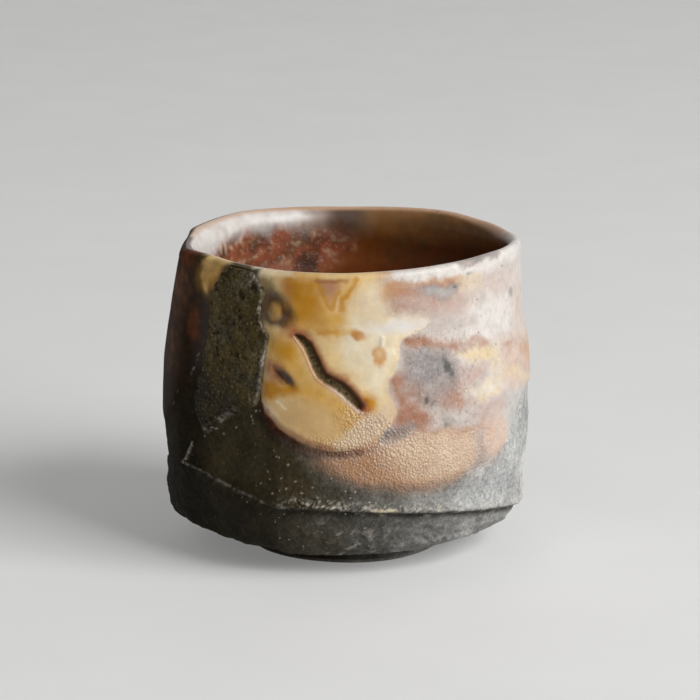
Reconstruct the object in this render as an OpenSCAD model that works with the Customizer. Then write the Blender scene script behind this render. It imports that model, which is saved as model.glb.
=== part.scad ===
// Guinomi: a small hand-thrown stoneware sake cup with wire-cut facets, a luted foot ring
// and fused glaze coats. Millimetres, +Z up, +X to the cup's right, -Y towards its front.
// The origin is the centre of the cup's footprint, on the surface that the foot stands on.

/* [Thrown body] */
// Height of the lip above the table
cup_h = 54.8; // [50:0.2:60]
// Radius of the bare clay at the belly
belly_r = 32.1; // [30:0.1:34]
// Height of the belly above the table
belly_z = 24; // [20:1:28]
// Radius of the long arc of the wall, seen in profile
wall_arc_r = 320; // [240:10:480]

/* [Bowl] */
// Radius of the clay bowl at the lip
bowl_r = 27.4; // [26.4:0.1:27.8]
// How far the bowl sits to the right of the foot's axis
bowl_shift = 0.9; // [0:0.1:1.2]
// Height of the clay floor of the bowl
floor_z = 9.6; // [8:0.2:12]
// How full the bowl's profile is: 2 is an ellipse, more is squarer
bowl_fullness = 2.7; // [2.4:0.1:3.2]

/* [Trimmed band and underside] */
// Height of the ridge where the trimming stopped, on the axis
ridge_z = 11; // [10.4:0.1:11.6]
// Tilt of the ridge, up at the front left
ridge_tilt = 5.9; // [5:0.1:6.5]
// Radius of the trimmed band at the ridge
band_r = 31.1; // [30.8:0.1:31.4]
// How much the trimmed band draws in for each millimetre downwards
band_lean = 0.25; // [0.2:0.01:0.3]
// Height of the trimmed underside in front, beside the foot ring
underside_z = 2.1; // [1.8:0.1:2.4]
// Rise of the trimmed underside for each millimetre outwards
underside_slope = 0.29; // [0.27:0.01:0.32]
// Height of the deeper trimmed front under the middle of the band
front_trim_z = 6.3; // [5.8:0.1:6.8]

/* [Foot] */
// Outer radius of the foot ring where it stands
foot_r = 17.2; // [15:0.1:17.6]
// Width of the foot ring
foot_w = 4.2; // [3:0.1:6]
// Height of the foot ring, including the part set into the clay
foot_h = 4.4; // [4:0.1:5.5]
// How much wider the foot ring is at its top
foot_flare = 0.5; // [0:0.1:0.8]
// Depth of the hollow inside the foot ring
foot_hollow = 2.2; // [1.5:0.1:3]

/* [Glaze] */
// Thickness of the dipped coat on the outside
coat_t = 0.4; // [0.3:0.05:0.6]
// Thickness of the coat that lines the bowl and rolls over the lip
liner_t = 0.4; // [0.3:0.05:0.6]
// Thickness of the poured pool on the front
pool_t = 0.7; // [0.5:0.05:0.9]
// Thickness of the ash crust on the front left facet
crust_t = 0.6; // [0.4:0.05:0.9]
// Height of the dipped coat's lower edge between its drips
coat_z = 24; // [20:1:30]

/* [Spatula cuts] */
// Width of a cut where it meets the bare clay
spatula_w = 1.7; // [1.2:0.1:2.2]
// Depth of a cut into the bare clay
spatula_depth = 1.0; // [0.6:0.1:1.4]

/* [Hidden] */
$fn = 96;

// Larger than the cup in every direction, for cutting
beyond = 80;
// The clay's lip lies under the liner's roll
clay_top = cup_h - liner_t;
// Size of the corner taken off the outside of the lip
lip_chamfer = 0.9;
// Height at which the bowl's wall has become upright
bowl_top = cup_h - 2;
// Turn of the ridge's highest place, and how far the trimming was off the foot's axis
ridge_turn = -35;
trim_shift = [-1.2, 1.0];
// Tilt of the underside, up at the front
underside_tilt = 2;
// Radius of the middle of the deeper trimmed front, its rise for each millimetre outwards, and its tilt
front_trim_r = 26.5;
front_trim_slope = 0.6;
front_trim_tilt = 12;

// Wire cuts: turn from the front, distance from the axis and height of the lower edge at the
// middle of the facet, lean outwards going up, and rise of the lower edge to the right
wire_cuts = [
    [-45, 30.2, 27.4, -1.0, 27],   // ash facet, front left
    [-42, 29.7, 14.7, 4.0, -12],   // lower facet, front left
    [-88, 31.2, 15.2, 7.0, 4],     // waist on the left
    [-92, 29.8, 45.0, -11, 0],     // shoulder on the left
    [128, 30.4, 12.6, 2.0, 6],     // back right
    [-156, 30.6, 13.4, -0.5, -7]   // back left
];

// Spatula strokes: turn and height of each stroke's two ends
spatula_strokes = [
    [[-15.3, 43.5], [-6.5, 36.6]],
    [[-6.5, 36.6], [5.1, 31.6]],
    [[-22.6, 37.4], [-17.0, 35.5]]
];

// Lobes of the poured pool: turn, height and radius
pool_lobes = [
    [-6, 32, 10.5],
    [-22, 34, 6.5],
    [-14, 44, 9],
    [4, 45, 9]
];

// Drips of the dipped coat below its lower edge: turn, height and radius
coat_drips = [
    [14, 29, 13.5],
    [42, 30, 11],
    [104, 27, 9],
    [150, 29, 12],
    [-100, 26, 7],
    [-150, 28, 9]
];

// Bare clay below the crust, left and right of the facet's middle, and its height at each side
bare_outline = [[-13, 0], [15, 0], [15, 28], [10, 31], [-13, 22]];

// Outline of the ash crust on its facet, as distance to the right of the facet's middle and height
crust_outline = [
    [-10.4, 21], [-2, 25.5], [4.4, 28.2], [8.6, 27.6], [9.4, 33], [8.2, 37.5], [10.2, 41.5],
    [8.6, 44], [9.2, 48], [7.0, 51.4], [4.5, 53.2], [-5.6, 53.2], [-7.2, 47], [-9.6, 30]
];

// Radius of the bare wall's arc at a height
function wall_r(z) = belly_r - wall_arc_r + sqrt(pow(wall_arc_r, 2) - pow(z - belly_z, 2));

// Point on the bowl's profile, from the middle of a floor at 0 degrees to the upright wall at 90
function bowl_point(a, r, z) = [
    r * pow(sin(a), 2 / bowl_fullness),
    z + (bowl_top - z) * (1 - pow(cos(a), 2 / bowl_fullness))
];

// The thrown wall as a filled form, grown by a coat's thickness, up to a level top
module thrown_form(grow, top) {
    rotate_extrude()
        difference() {
            intersection() {
                translate([belly_r - wall_arc_r, belly_z])
                    circle(r = wall_arc_r + grow, $fn = 360);
                translate([0, -1])
                    square([beyond, top + 1]);
            }
            lip_edge(wall_r(top) + grow, top);
        }
}

// The corner taken off the outside of the lip, in profile
module lip_edge(r, top) {
    polygon([
        [r - lip_chamfer, top + 1], [r - lip_chamfer, top],
        [r + 1, top - lip_chamfer - 1], [r + 1, top + 1]
    ]);
}

// Everything above a cone that opens upwards, tilted up at the front, where it passes a radius at a
// height
module above_cone(slope, tilt, r, z) {
    translate([0, 0, z - r * tan(atan(slope) + tilt)])
        rotate([-tilt, 0, 0])
            cylinder(r1 = 0, r2 = beyond / slope, h = beyond);
}

// What the trimming knife takes off below the ridge, which leaves the band set back in front
module trimmed_off() {
    translate([trim_shift[0], trim_shift[1], ridge_z])
        rotate([0, 0, ridge_turn])
            rotate([-ridge_tilt, 0, 0])
                rotate_extrude()
                    polygon([
                        [band_r, 0], [beyond, 0],
                        [beyond, -cup_h], [band_r - band_lean * cup_h, -cup_h]
                    ]);
}

// The blocks that the cutting wire takes off the outside
module wired_off(grow) {
    for (cut = wire_cuts)
        rotate([0, 0, cut[0]])
            translate([0, -cut[1] - grow, cut[2]])
                rotate([cut[3], 0, 0])
                    rotate([0, -cut[4], 0])
                        translate([-beyond, -beyond, 0])
                            cube([2 * beyond, beyond, beyond]);
}

// The cup's outside as a filled form, grown by a coat's thickness
module outside(grow = 0, top = clay_top) {
    difference() {
        intersection() {
            thrown_form(grow, top);
            above_cone(underside_slope, underside_tilt, foot_r + foot_flare, underside_z);
            above_cone(front_trim_slope, front_trim_tilt, front_trim_r, front_trim_z);
        }
        wired_off(grow);
        trimmed_off();
        translate([0, 0, -beyond])
            cylinder(r = foot_r, h = beyond + foot_hollow);
    }
}

// The hollow of the bowl, made smaller by the thickness of what lines it
module bowl(lining = 0) {
    r = bowl_r - lining;
    profile = [for (a = [0 : 6 : 90]) bowl_point(a, r, floor_z + lining)];
    translate([bowl_shift, 0, 0])
        rotate_extrude()
            polygon(concat(profile, [[r, beyond], [0, beyond]]));
}

// A round zone that runs out from the axis through the wall
module lobe(turn, z, r) {
    rotate([0, 0, turn])
        translate([0, 0, z])
            rotate([90, 0, 0])
                cylinder(r = r, h = beyond);
}

// Where the poured pool lies
module pool_zone() {
    for (l = pool_lobes)
        lobe(l[0], l[1], l[2]);
}

// An outline on the ash facet, run out from the axis through the wall
module facet_prism(outline) {
    rotate([0, 0, wire_cuts[0][0]])
        rotate([90, 0, 0])
            linear_extrude(beyond)
                polygon(outline);
}

// Where the ash crust lies
module crust_zone() {
    facet_prism(crust_outline);
}

// Where the dipped coat lies
module coat_zone() {
    translate([0, 0, coat_z])
        cylinder(r = beyond, h = beyond);
    for (d = coat_drips)
        lobe(d[0], d[1], d[2]);
}

// The grooves that the spatula leaves in the pool and the clay under it
module spatula_grooves() {
    for (s = spatula_strokes)
        spatula_groove((s[0] + s[1]) / 2, s[1] - s[0]);
}

// One straight groove with a sharp bottom, by its middle's turn and height and what it runs through
module spatula_groove(middle, run) {
    r = wall_r(middle[1]);
    across = 2 * r * sin(run[0] / 2);
    flare = 1 + 2 * pool_t / spatula_depth;
    rotate([0, 0, middle[0]])
        translate([0, -r, middle[1]])
            rotate([0, -atan2(run[1], across), 0])
                rotate([90, 0, 90])
                    linear_extrude(norm([across, run[1]]), center = true)
                        polygon([
                            [spatula_depth, 0],
                            [spatula_depth * (1 - flare), flare * spatula_w / 2],
                            [spatula_depth * (1 - flare), -flare * spatula_w / 2]
                        ]);
}

// The foot ring's own outline, from the table up into its groove in the clay
module foot_form() {
    rotate_extrude()
        polygon([
            [foot_r - foot_w, 0], [foot_r, 0],
            [foot_r + foot_flare, foot_h], [foot_r - foot_w, foot_h]
        ]);
}

module clay_body() {
    color("#4a463e")
        difference() {
            outside();
            bowl();
            spatula_grooves();
            foot_form();
        }
}

module foot_ring() {
    color("#3d3a34")
        foot_form();
}

module liner_glaze() {
    color("#8a4a30")
        difference() {
            union() {
                intersection() {
                    bowl();
                    cylinder(r = beyond, h = cup_h);
                }
                intersection() {
                    outside(coat_t, cup_h);
                    translate([0, 0, clay_top])
                        cylinder(r = beyond, h = beyond);
                }
            }
            bowl(liner_t);
        }
}

module outer_glaze() {
    color("#d8c3b0")
        difference() {
            intersection() {
                outside(coat_t);
                coat_zone();
            }
            outside();
            pool_zone();
            crust_zone();
            facet_prism(bare_outline);
        }
}

module glaze_pool() {
    color("#d9b878")
        difference() {
            intersection() {
                outside(pool_t);
                pool_zone();
            }
            outside();
            crust_zone();
            spatula_grooves();
        }
}

module ash_crust() {
    color("#3b3423")
        difference() {
            intersection() {
                outside(crust_t);
                crust_zone();
            }
            outside();
        }
}

clay_body();
foot_ring();
liner_glaze();
outer_glaze();
glaze_pool();
ash_crust();
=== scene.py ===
"""A guinomi: a small wood-fired stoneware sake cup, its glaze coats and ash crust, on a plain stage.

Sizes inside the form functions are millimetres and are turned to metres where a mesh is made. Places on
the cup are a turn, in degrees from the front and positive to the right, and a height above the table.
"""
import math
from typing import NamedTuple

import bmesh
import bpy
import numpy as np
from bpy.props import FloatProperty, FloatVectorProperty, PointerProperty
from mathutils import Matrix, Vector


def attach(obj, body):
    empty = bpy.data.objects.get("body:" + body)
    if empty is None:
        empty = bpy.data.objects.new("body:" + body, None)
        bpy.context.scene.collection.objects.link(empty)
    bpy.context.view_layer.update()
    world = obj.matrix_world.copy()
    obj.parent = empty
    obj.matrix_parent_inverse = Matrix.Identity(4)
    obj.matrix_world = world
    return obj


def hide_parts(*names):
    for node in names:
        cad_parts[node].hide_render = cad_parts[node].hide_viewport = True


bl_info = {
    "name": "Guinomi cup",
    "version": (1, 0, 0),
    "blender": (4, 5, 0),
    "location": "View3D > Sidebar > Guinomi",
    "description": "Models a wood-fired stoneware sake cup with its glazes",
    "category": "Add Mesh",
}

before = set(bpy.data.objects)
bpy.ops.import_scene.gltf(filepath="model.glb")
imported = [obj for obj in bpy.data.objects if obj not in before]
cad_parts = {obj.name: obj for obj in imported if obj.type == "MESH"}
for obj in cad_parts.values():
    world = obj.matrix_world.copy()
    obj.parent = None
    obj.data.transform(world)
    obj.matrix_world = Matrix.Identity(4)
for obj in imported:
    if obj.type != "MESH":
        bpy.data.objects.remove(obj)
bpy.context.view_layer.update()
BODY = "root"
MM = 0.001


def linear(hex_colour):
    """Linear red, green and blue of an sRGB hex colour."""
    parts = (int(hex_colour[i:i + 2], 16) / 255 for i in (1, 3, 5))
    return tuple(c / 12.92 if c <= 0.04045 else ((c + 0.055) / 1.055) ** 2.4 for c in parts)


# Sizes and colours that a user would change

def length(name, description, default_mm):
    """A length property with a default in millimetres."""
    return FloatProperty(name=name, description=description, default=default_mm * MM,
                         unit="LENGTH", precision=5)


def glaze(name, description, hex_colour):
    """A colour property with an sRGB hex default."""
    return FloatVectorProperty(name=name, description=description, size=3, subtype="COLOR",
                               min=0, max=1, default=linear(hex_colour))


class CupSizes(bpy.types.PropertyGroup):
    """Thicknesses and depths of what covers and cuts the clay."""
    coat: length("Coat", "Thickness of the dipped coat on the outside", 0.4)
    liner: length("Liner", "Thickness of the glaze inside the bowl", 0.4)
    pool: length("Pool", "Thickness of the poured pool at its full lower roll", 0.9)
    crust: length("Crust", "Thickness of the ash crust", 0.5)
    gouge: length("Gouge", "Depth of the spatula cuts", 1.15)
    foot_radius: length("Foot radius", "Outer radius of the foot ring", 17.2)


class CupColours(bpy.types.PropertyGroup):
    """Fired colours, named as a potter would, some of them also laid as painted light and shade."""
    cream: glaze("Cream", "Thick feldspar glaze", "#e0c08a")
    pale: glaze("Pale cream", "Thick feldspar glaze where it went milky", "#e7d8ba")
    honey: glaze("Honey", "Thick glaze stained by iron", "#cf9a38")
    amber: glaze("Amber", "Iron-stained glaze where it ran thin", "#bd8000")
    ochre: glaze("Ochre", "Iron spots in the thick glaze", "#c48a4e")
    biscuit: glaze("Biscuit", "Pebbled pale gold glaze", "#d8c0a3")
    # White also paints highlights: on the lip's crest and rim to the right, along the raised belt, as
    # glints and on the lit lower corner
    tan: glaze("Tan", "Pebbled orange-brown glaze", "#b48a66")
    white: glaze("White", "Milky glaze on raised belts", "#e1dbd5")
    milk: glaze("Milk", "Thin milky glaze with a flush of pink", "#d3c7be")
    straw: glaze("Straw", "Thin yellow feldspar glaze", "#dfc9a4")
    peach: glaze("Peach", "Thin glaze flushed by the flame", "#d6bba8")
    rose: glaze("Rose", "Thin pink glaze over clay", "#c1a89d")
    mauve: glaze("Mauve", "Brown-pink glaze in the grooves", "#ab7a60")
    lilac: glaze("Lilac grey", "Carbon-trapped glaze", "#a3938c")
    slate: glaze("Slate", "Blue-grey glaze where carbon is thick", "#8f8b8a")
    rust: glaze("Rust", "Red-brown glaze at thin edges", "#96502a")
    umber: glaze("Umber", "Dark iron line round the pool", "#44281a")
    # Bistre is darker than the glaze's own brown, as painted shade of the left side away from the window
    bistre: glaze("Bistre", "Dark brown glaze on the shaded side", "#342213")
    sienna: glaze("Sienna", "Brown iron glaze in the bowl", "#633612")
    ember: glaze("Ember", "Red iron mottle inside the bowl", "#8f4e33")
    clay: glaze("Clay", "Bare iron-rich stoneware", "#5f5d57")
    loam: glaze("Loam", "Bare stoneware browned by smoke", "#463d2a")
    # Smoke-blackened clay, also laid as painted shade: on the shaded left side, under the ridge's overhang,
    # under the pool's lower roll, on the foot and in the crust's hollows
    soot_and_shade: glaze("Soot", "Smoke-blackened clay", "#1d180d")
    dust: glaze("Ash dust", "Pale ash lying on bare clay", "#b6b6b4")
    crust: glaze("Crust", "Half-melted olive ash", "#594b26")
    # Fleck also paints highlights on the lit edges of the left facets and the ridge
    fleck: glaze("Fleck", "Pale grains of feldspar and ash", "#c4bdb0")
    floor: glaze("Floor", "Painted studio floor", "#dcdcdb")


# Small tools for curves and fields, all on arrays

DICE = np.random.default_rng(5)
SHUFFLE = DICE.permutation(256)
SLOPES = DICE.uniform(-1, 1, (256, 3))


def smoothstep(low, high, x):
    """0 below low, 1 above high and smooth between, or the other way round where low is above high."""
    t = np.clip((x - low) / (high - low), 0, 1)
    return t * t * (3 - 2 * t)


def span(x, start, full, fade, end):
    """0 up to start, 1 from full to fade and 0 again from end on, smooth between."""
    return smoothstep(start, full, x) * smoothstep(end, fade, x)


def mix(a, b, t):
    """a where t is 0, b where t is 1."""
    return a + (b - a) * t


def bell(x, width):
    """1 at 0, falling away over about width."""
    return np.exp(-(x / width) ** 2)


def soft_min(a, b, blend):
    """The smaller of two, rounded over blend where they cross."""
    near = np.clip(0.5 + 0.5 * (b - a) / blend, 0, 1)
    return mix(b, a, near) - blend * near * (1 - near)


def tint(fired, colour, cover):
    """Fired colours with another colour, or a field of colours, laid over them as far as cover says."""
    return mix(fired, np.array(colour), np.clip(cover, 0, 1)[..., None])


def layered(fired, colours, layers):
    """Fired colours with named ones laid over them in order, each as far as its cover says."""
    for name, cover in layers:
        fired = tint(fired, getattr(colours, name), cover)
    return fired


def eased(at, value, places, step, soft, ends):
    """Values read between stations at even places, smoothed over soft on either side."""
    reach = max(1, round(soft / step))
    weight = np.hanning(2 * reach + 1)
    line = np.pad(np.interp(places, at, value, **ends), reach, "wrap" if ends else "edge")
    return np.convolve(line, weight / weight.sum(), "valid")


def around(turn, stations, soft=6.0):
    """A value that changes round the cup, from stations of turn and value, eased over soft degrees."""
    at, value = np.array(stations, float).T
    degrees = np.arange(-180, 180, 0.5)
    ring = eased(at, value, degrees, 0.5, soft, {"period": 360})
    return np.interp(np.degrees(turn), degrees, ring, period=360)


def up_wall(height, stations, soft=2.5):
    """A value that changes up the wall, from stations of height and value, eased over soft millimetres."""
    at, value = np.array(stations, float).T
    heights = np.arange(at[0] - soft, at[-1] + soft, 0.1)
    return np.interp(height, heights, eased(at, value, heights, 0.1, soft, {}))


def lumps(points, size, seed=0):
    """Smooth noise from about -1 to 1 over lumps of a size, at an array of points."""
    place = np.asarray(points).T / size + seed * np.array((7.31, 3.17, 5.53))[:, None]
    cell = np.floor(place).astype(int)
    part = place - cell
    ease = part ** 3 * (part * (part * 6 - 15) + 10)
    total = np.zeros(place.shape[1])
    for corner in np.ndindex(2, 2, 2):
        key, weight, rise = 0, 1, 0
        for axis, way in enumerate(corner):
            key = SHUFFLE[(key + cell[axis] + way) & 255]
            weight = weight * (ease[axis] if way else 1 - ease[axis])
        for axis, way in enumerate(corner):
            rise = rise + SLOPES[key, axis] * (part[axis] - way)
        total += weight * rise
    return 1.5 * total


def grit(points, size, seed=0):
    """Noise with two finer octaves, for rough fired surfaces."""
    return sum(lumps(points, size / 2 ** n, seed + n) / 2 ** n for n in range(3)) / 1.4


def surface_points(turn, radius, height):
    """Points in space at turns, radii and heights."""
    return np.column_stack(np.broadcast_arrays(radius * np.sin(turn), -radius * np.cos(turn), height))


def wall_points(turn, height):
    """Points on a plain barrel under each turn and height, for noise that has no seam."""
    return surface_points(turn, WALL_R, height)


def turned(turn, middle):
    """How far a turn is past a middle one, from half a turn back to half a turn on."""
    return (turn - math.radians(middle) + math.pi) % (2 * math.pi) - math.pi


def flat(points):
    """Turns in degrees and heights as millimetres across and up the wall."""
    return np.array(points, float) * (WALL_R * math.pi / 180, 1)


def near_line(turn, height, line, reach):
    """Which places lie within reach of a line's or outline's box, and where they are on the flat wall."""
    across = WALL_R * turn
    low, high = line.min(axis=0) - reach, line.max(axis=0) + reach
    near = (across > low[0]) & (across < high[0]) & (height > low[1]) & (height < high[1])
    return near, across[near], height[near]


def line_distance(turn, height, points, reach=4.0):
    """Distance on the wall to a line of points, at most reach, and how far along the line that is."""
    line = flat(points)
    near, x, y = near_line(turn, height, line, reach)
    best = np.full(len(x), reach)
    along = np.zeros(len(x))
    for number, (start, way) in enumerate(zip(line, np.diff(line, axis=0))):
        t = np.clip(((x - start[0]) * way[0] + (y - start[1]) * way[1]) / (way @ way), 0, 1)
        d = np.hypot(x - start[0] - t * way[0], y - start[1] - t * way[1])
        nearer = d < best
        along[nearer] = (number + t[nearer]) / (len(line) - 1)
        best[nearer] = d[nearer]
    distance = np.full_like(turn, reach)
    distance[near] = best
    share = np.zeros_like(turn)
    share[near] = along
    return distance, share


def spot_distance(turn, height, spot, dash=(0.1, 0), reach=4.0):
    """Distance in millimetres on the wall to a spot, or to the short dash that starts there."""
    return line_distance(turn, height, [spot, (spot[0] + dash[0], spot[1] + dash[1])], reach)[0]


def inside_depth(turn, height, outline, reach=4.0):
    """How deep in an outline of turns and heights each place is, in millimetres, negative outside."""
    closed = [*outline, outline[0]]
    line = flat(closed)
    near, x, y = near_line(turn, height, line, reach)
    inside = np.zeros(len(x), bool)
    for (x0, y0), (x1, y1) in zip(line, line[1:]):
        if y0 != y1:
            inside ^= ((y0 > y) != (y1 > y)) & (x < x0 + (y - y0) * (x1 - x0) / (y1 - y0))
    distance, _ = line_distance(turn[near], height[near], closed, 40.0)
    depth = np.full_like(turn, -reach)
    depth[near] = np.where(inside, distance, np.maximum(-distance, -reach))
    return depth


# The cup's form, in millimetres

WALL_R = 32.0
# Thickness of glaze that the clay stays behind
GLAZE = 0.4
# Radius of the glazed wall at heights, plain and on the right, where a belt was pressed in under the lip
PLAIN_WALL = [(6, 31.2), (12, 31.5), (18, 32.1), (23, 32.4), (28, 32.2), (33, 32.0), (40, 31.5), (47, 31.0),
              (57, 30.3)]
BELTED_WALL = [(6, 31.6), (10, 31.9), (14, 31.8), (18, 32.4), (22, 32.8), (25, 32.6), (28, 32.4),
               (31, 32.5), (35, 32.2), (37.5, 32.0), (40, 31.4), (43, 30.9), (50, 30.85), (57, 30.4)]
BELTED_SIDE = [(-180, 0.2), (-40, 0), (0, 0.5), (30, 1), (100, 1), (140, 0.3)]
# Grooves left by the thrower's fingers on that side: height and half width of each, and their depth
GROOVES = [(41.8, 1.2), (50.6, 1.1)]
GROOVE_DEPTH = 0.18
# Height of the lip, of the ridge where the trimming stopped, and of the seam with the foot ring
LIP = [(-180, 54.3), (-150, 54.7), (-140, 54.8), (-128, 54.4), (-115, 53.9), (-104, 53.6), (-90, 53.9),
       (-75, 54.3), (-55, 54.8), (-44, 54.4), (-20, 54.0), (0, 54.0), (25, 54.4), (55, 55.0), (80, 54.7),
       (95, 54.1), (108, 53.8), (118, 54.1), (128, 54.2), (138, 54.6), (146, 54.7), (156, 54.6),
       (170, 54.4)]
RIDGE = [(-180, 9.2), (-150, 11.0), (-120, 13.5), (-95, 15.0), (-75, 16.3), (-63, 17.4), (-52, 16.5),
         (-42, 15.2), (-35, 14.4), (-28, 13.7), (-21, 13.3), (-17, 13.8), (-4, 13.7), (6, 13.4), (17, 12.9),
         (34, 12.0), (53, 10.6), (70, 9.1), (90, 8.1), (130, 8.3)]
SEAM = [(-180, 1.7), (-90, 2.2), (-30, 2.6), (0, 2.4), (60, 1.1), (90, 0.9), (140, 1.2)]
# How far the trimmed band stands proud of the wall at the ridge, and the corner that it is drawn to below:
# the corner's radius, its height and how hard it pulls
BAND_STEP = [(-180, 0.1), (-120, 0.2), (-90, 0.1), (-64, 0.2), (-52, 0.9), (-40, 1.2), (-28, 0.5),
             (-20, -0.6), (-12, -1.2), (20, -1.5), (60, -1.2), (90, -0.7), (140, -0.2)]
BAND_CORNER_R = [(-180, 28.5), (-110, 31.2), (-85, 32.3), (-60, 31.2), (-35, 30.6), (-18, 27.6), (0, 26.6),
                 (25, 27.0), (50, 27.8), (75, 29.2), (90, 29.6), (135, 28.5)]
BAND_CORNER_Z = [(-180, 2.8), (-110, 4.6), (-85, 5.1), (-60, 5.4), (-35, 5.0), (-18, 2.9), (0, 3.2),
                 (25, 4.1), (50, 4.4), (75, 4.4), (90, 4.2), (135, 3.2)]
BAND_PULL = [(-180, 1.3), (-110, 2.2), (-85, 3.0), (-60, 3.0), (-35, 2.6), (-18, 1.8), (0, 1.5), (90, 1.5),
             (135, 1.4)]
# Stretches round the cup, in degrees of turn: where each starts, is full, fades and ends
SHADED_SIDE = (-170, -120, -56, -44)
TORN_BAND = (-2, 16, 44, 62)
ROUGH_BAND = (-36, -20, 80, 100)
FLECKED_BAND = (-20, 0, 70, 100)
SMOKED_AND_SHADED_BAND = (-170, -120, -30, -8)
BURRED_RIDGE = (-26, -14, 70, 95)
SHADOWED_UNDER_RIDGE = (-26, -14, 90, 120)
CRUMBED_RIDGE = (-26, -16, 60, 100)
SHARP_RIDGE = (-66, -60, -24, -16)
PALE_AND_LIT_RIDGE = (-66, -60, -24, -14)
ASHED_AND_LIT_CORNER = (73, 79, 84, 90)
GRAINY_FRONT = (-40, -18, 50, 100)
PEBBLED_COAT = (-18, -6, 46, 60)
PEBBLED_POOL = (-6, 3, 22, 30)
CLOUDED_COAT = (14, 20, 40, 50)
MILKY_LIP = (30, 60, 110, 140)
# The lip's rounding outside and inside, how far its crest leans out, and where the coat ends on it
LIP_ROUND = 1.5
LIP_INSIDE = 3.0
LIP_SKEW = 1.4
COAT_END = math.radians(104)
# The bowl: its radius and shift to the right, its floor's height and how square its section is
BOWL_R = 27.2
BOWL_SHIFT = 0.9
BOWL_FLOOR = 10.0
BOWL_FULLNESS = 2.7
# Under the cup: the foot ring's seam and seat, and the hollow inside it
SEAM_R = 18.0
FOOT_SEAT = 3.0
HOLLOW_R = 13.0
HOLLOW_TOP = 2.2


class WireCut(NamedTuple):
    """A flat taken off by the cutting wire: its place, distance from the axis, foot height and lean."""
    turn: float
    reach: float
    low: float
    lean: float

    def radius(self, turn, height):
        """Radius at which the flat lies, far out where it faces away."""
        past = turned(turn, self.turn)
        reach = self.reach + (height - self.low) * math.tan(math.radians(self.lean))
        return np.where(np.abs(past) < 1.2, reach / np.maximum(np.cos(past), 0.3), 99)


WIRE_CUTS = [
    WireCut(-45, 30.0, 27.0, -0.8),
    WireCut(-42, 29.5, 14.7, 4.5),
    WireCut(-88, 31.4, 15.2, 8.5),
    WireCut(-92, 29.5, 45.0, -11.0),
    WireCut(128, 30.2, 12.6, 2.0),
    WireCut(-156, 30.4, 13.4, -0.5),
]
BAND_CUT = WireCut(-46, 30.9, 15.0, 15)
CUT_BLEND = 0.3
# The torn edge across the front left facets, the left face's crumbling edge, the bright corner, and how
# far the clay below the torn edge lies back
TORN_EDGE = [(-52, 24.3), (-49, 25.4), (-45, 26.7), (-42, 27.9), (-35.5, 29.9)]
LEFT_EDGE = [(-52.5, 39.6), (-55, 37.6), (-57, 34.8), (-60, 32.6), (-64, 30.4), (-70, 26.6)]
CORNER_EDGE = [(-62.6, 17.6), (-61, 18.6), (-58.4, 21.4)]
TORN_DEPTH = 0.45
# Outlines of the spatula cuts, with how deep each is and how strongly its banks are painted: shade on the
# upper bank, highlight on the lower
SPATULA_CUTS = [
    ([(-16, 43.6), (-13, 43.4), (-11, 42.2), (-9.2, 40.5), (-7.5, 38.6), (-6, 37.2), (-4, 36.6), (-1, 35.9),
      (1, 34.9), (3, 33.5), (4.9, 31.9), (5.1, 30.8), (3.4, 31.2), (1, 32.6), (-1.5, 33.9), (-4, 34.9),
      (-6.5, 35.6), (-8.5, 36.5), (-10.2, 38.1), (-11.7, 39.8), (-13.4, 41.6), (-15.2, 42.9)], 1.0, 1.0),
    ([(-22.8, 38.2), (-19.6, 37.9), (-17, 36.4), (-15.9, 35.1), (-17.8, 35), (-20.5, 36.3), (-22.8, 37.5)],
     0.28, 0.0),
]
# How far the clay and the coat give way behind these cuts
CLAY_ROOM = 2.8
COAT_ROOM = 2.4
# A pale chip on the ridge: where it starts, and how far it goes across and up
CHIP = ((8.6, 13.5), (7.0, -0.3))
# Grains of feldspar that burst out of the bare clay: turn, height and radius
GRAINS = [(-31, 28.7, 0.28), (-29, 29.9, 0.26), (-30.2, 27.5, 0.19), (-30.5, 28.1, 0.19),
          (-47.6, 25.0, 0.28), (-44.6, 24.3, 0.25), (-49.4, 25.0, 0.25), (-53, 23.2, 0.19),
          (-38.6, 26.0, 0.22), (-35, 27.0, 0.17), (-23.4, 15.8, 0.26), (-27.8, 17.2, 0.19),
          (-20, 18.8, 0.21), (-17.6, 21.3, 0.25), (-18.4, 17.0, 0.21), (-15.4, 18.4, 0.19),
          (-13.6, 16.4, 0.22), (-21.4, 22.6, 0.17), (-10.2, 17.6, 0.19), (-8.6, 15.8, 0.21),
          (-24.8, 19.6, 0.17), (-5.4, 15.2, 0.20), (-12.0, 14.6, 0.25), (-2.6, 14.6, 0.21),
          (2.4, 14.9, 0.19)]


def lip_height(turn):
    """Height of the lip's crest."""
    return around(turn, LIP, 7)


def shoulder(turn):
    """Height at which the wall turns into the rounded lip."""
    return lip_height(turn) - LIP_ROUND


def ridge_height(turn):
    """Height of the crumbling ridge over the trimmed band."""
    return around(turn, RIDGE, 2) + 0.22 * grit(wall_points(turn, 13), 2.2, 38)


def spatula_cuts(turn, height):
    """How far in the spatula's cuts a place is, from 0 to 1, and which bank it is on, 1 above and -1 below,
    for painted shade on the upper bank and painted highlight on the lower.
    """
    ragged = 0.12 * lumps(wall_points(turn, height), 1.4, 10)
    core = np.zeros_like(turn)
    bank = np.zeros_like(turn)
    slide = 0.35
    for outline, share, bright in SPATULA_CUTS:
        depth = inside_depth(turn, height, outline)
        slid = inside_depth(turn - slide / WALL_R, height - slide, outline)
        side = np.clip((slid - depth) / slide, -1, 1)
        depth = depth + ragged
        upper = (side + 1) / 2
        core = np.maximum(core, share * smoothstep(mix(-0.1, -0.5, upper), mix(0.3, 0.55, upper), depth))
        bank += bright * bell(depth + 0.15, mix(0.3, 0.6, upper)) * side
    return core, np.clip(bank, -1, 1)


def spatula_room(turn, height):
    """How far the clay and coat under the pool have to give way to the spatula's cuts, from 0 to 1."""
    depths = [inside_depth(turn, height, outline) for outline, *_ in SPATULA_CUTS]
    return smoothstep(-2.4, -0.9, np.max(depths, axis=0))


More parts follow.
